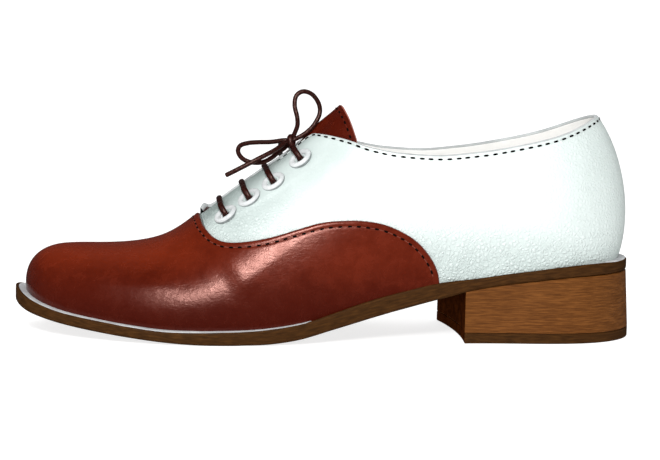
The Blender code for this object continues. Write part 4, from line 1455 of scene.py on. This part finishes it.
def collar_stitch_line(outer_side):
    """Points and normals along the collar's stitches, from the facing round to the back seam."""
    places = np.linspace(place_of("top_x", COLLAR_STITCH_FROM), COLLAR_STITCH_END, COLLAR_SAMPLES)
    places = side_place(places, outer_side)
    shares = shares_below(places, quarter_share(places), np.full(len(places), COLLAR_STITCH))
    return offset_skin(places, shares, COLLAR_STITCH_LIFT), skin_normal(places, shares)


# Stage

def add_camera():
    """Camera at the photograph's angle."""
    azimuth, elevation = np.radians(AZIMUTH), np.radians(ELEVATION)
    away = np.cos(elevation)
    back = Vector((np.sin(azimuth) * away, -np.cos(azimuth) * away, np.sin(elevation)))
    right = Vector((np.cos(azimuth), np.sin(azimuth), 0.0))
    facing = Matrix((right, back.cross(right), back)).transposed().to_4x4()
    data = bpy.data.cameras.new("camera")
    data.sensor_width = SENSOR
    data.lens = FOCAL_PIXELS / IMAGE_WIDTH * SENSOR
    data.clip_start = 0.01
    camera = bpy.data.objects.new("camera", data)
    place = (Vector(TARGET) + back * DISTANCE) * MM
    camera.matrix_world = Matrix.Translation(place) @ facing @ Matrix.Rotation(np.radians(ROLL), 4, "Z")
    bpy.context.scene.collection.objects.link(camera)
    bpy.context.scene.camera = camera


def aim_light(data, place):
    light = bpy.data.objects.new(data.name, data)
    light.location = place
    light.rotation_euler = (Vector(LIGHT_AIM) - Vector(place)).to_track_quat("-Z", "Y").to_euler()
    bpy.context.scene.collection.objects.link(light)
    return light


def add_lights():
    """Two broad soft lights that leave no reflection, and a small one in front that makes the highlights."""
    for name, place, power in (("panel", PANEL_PLACE, PANEL_POWER), ("fill", FILL_PLACE, FILL_POWER)):
        soft = bpy.data.lights.new(name, "SUN")
        soft.energy = power
        soft.angle = np.radians(PANEL_ANGLE)
        aim_light(soft, place).visible_glossy = False
    key = bpy.data.lights.new("key", "AREA")
    key.shape = "RECTANGLE"
    key.size, key.size_y = KEY_SIZE
    key.energy = KEY_POWER
    aim_light(key, KEY_PLACE)


def add_world():
    """An evenly dim room."""
    world = bpy.data.worlds.new("studio")
    world.use_nodes = True
    room = world.node_tree.nodes["Background"]
    room.inputs["Color"].default_value = (1.0, 1.0, 1.0, 1.0)
    room.inputs["Strength"].default_value = ROOM
    bpy.context.scene.world = world
    bpy.context.scene.view_settings.view_transform = "Standard"


def paper(name, glow):
    """White paper that glows a little, so that it stays white."""
    look = Finish(name, Roughness=0.9, Specular_IOR_Level=0.05, Emission_Color=(1.0, 1.0, 1.0, 1.0),
                  Emission_Strength=glow)
    look.colour(look.noise(6.0), *PATCHES)
    return look.material


def add_floor():
    """White paper on the floor and up a far wall, not mirrored in the leather."""
    rim = FLOOR_RADIUS / MM
    shape = Shape()
    flat = [(radius, 0.0) for radius in np.linspace(0.0, rim, FLOOR_RINGS)]
    shape.grid(turned_ring(flat, FLOOR_STEPS), 0, around=True)
    shape.grid(turned_ring(((rim, 0.0), (rim, BACKDROP_HIGH / MM)), FLOOR_STEPS), 1, around=True)
    floor = shape.build("floor", [paper("floor_paper", FLOOR_GLOW), paper("wall_paper", WALL_GLOW)])
    floor.visible_glossy = False


def main():
    add_camera()
    brown, white, lace = brown_leather(), white_leather(), lace_cord()
    black = thread("black_thread")
    sole = stacked("sole_leather", 200.0, 1500.0, 0.06, by_run=True)
    stack = stacked("stacked_heel", 150.0, 2500.0, 0.1, 0.14)
    breast = stacked("heel_breast", 200.0, 300.0, 0.0)
    make_bow(lace)
    make_bars(lace)
    upper = make_upper(white, lining_leather("lining"), lining_leather("rim_painted_shade"))
    punch_eyelets(upper)
    dress(upper, "white_leather", "upper")
    vamp, edges = make_vamp(brown)
    dress(vamp, "brown_leather", "vamp")
    tongue, tongue_line, tongue_out = make_tongue(brown, lining_leather("tongue_rim_painted_highlight"))
    dress(tongue, "brown_leather", "tongue")
    make_eyelets(enamel("enamel"), enamel("enamel_painted_shadow"))
    dress(make_outsole(sole), "sole_leather", "outsole")
    dress(make_welt(welt_leather()), "welt", "welt")
    dress(make_insole(lining_leather("insole")), "insole", "insole")
    block, wear = make_heel(stack, sole, breast)
    dress(block, "stacked_heel", "heel_block")
    dress(wear, "sole_leather", "heel_top_lift")
    sewn = (("vamp", [vamp_stitch_line(edge, side) for side, edge in edges.items()], "brown_leather"),
            ("collar", [collar_stitch_line(side) for side in (True, False)], "white_leather"),
            ("tongue", [(tongue_line[2:-2], tongue_out[2:-2])], "brown_leather"))
    for name, lines, slot in sewn:
        looks = [black, thread(f"{name}_thread")]
        size = COLLAR_STITCH_SIZE if name == "collar" else VAMP_STITCH_SIZE
        make_stitches(f"stitches_{name}", lines, looks, slot, size)
    add_floor()
    add_world()
    add_lights()


main()
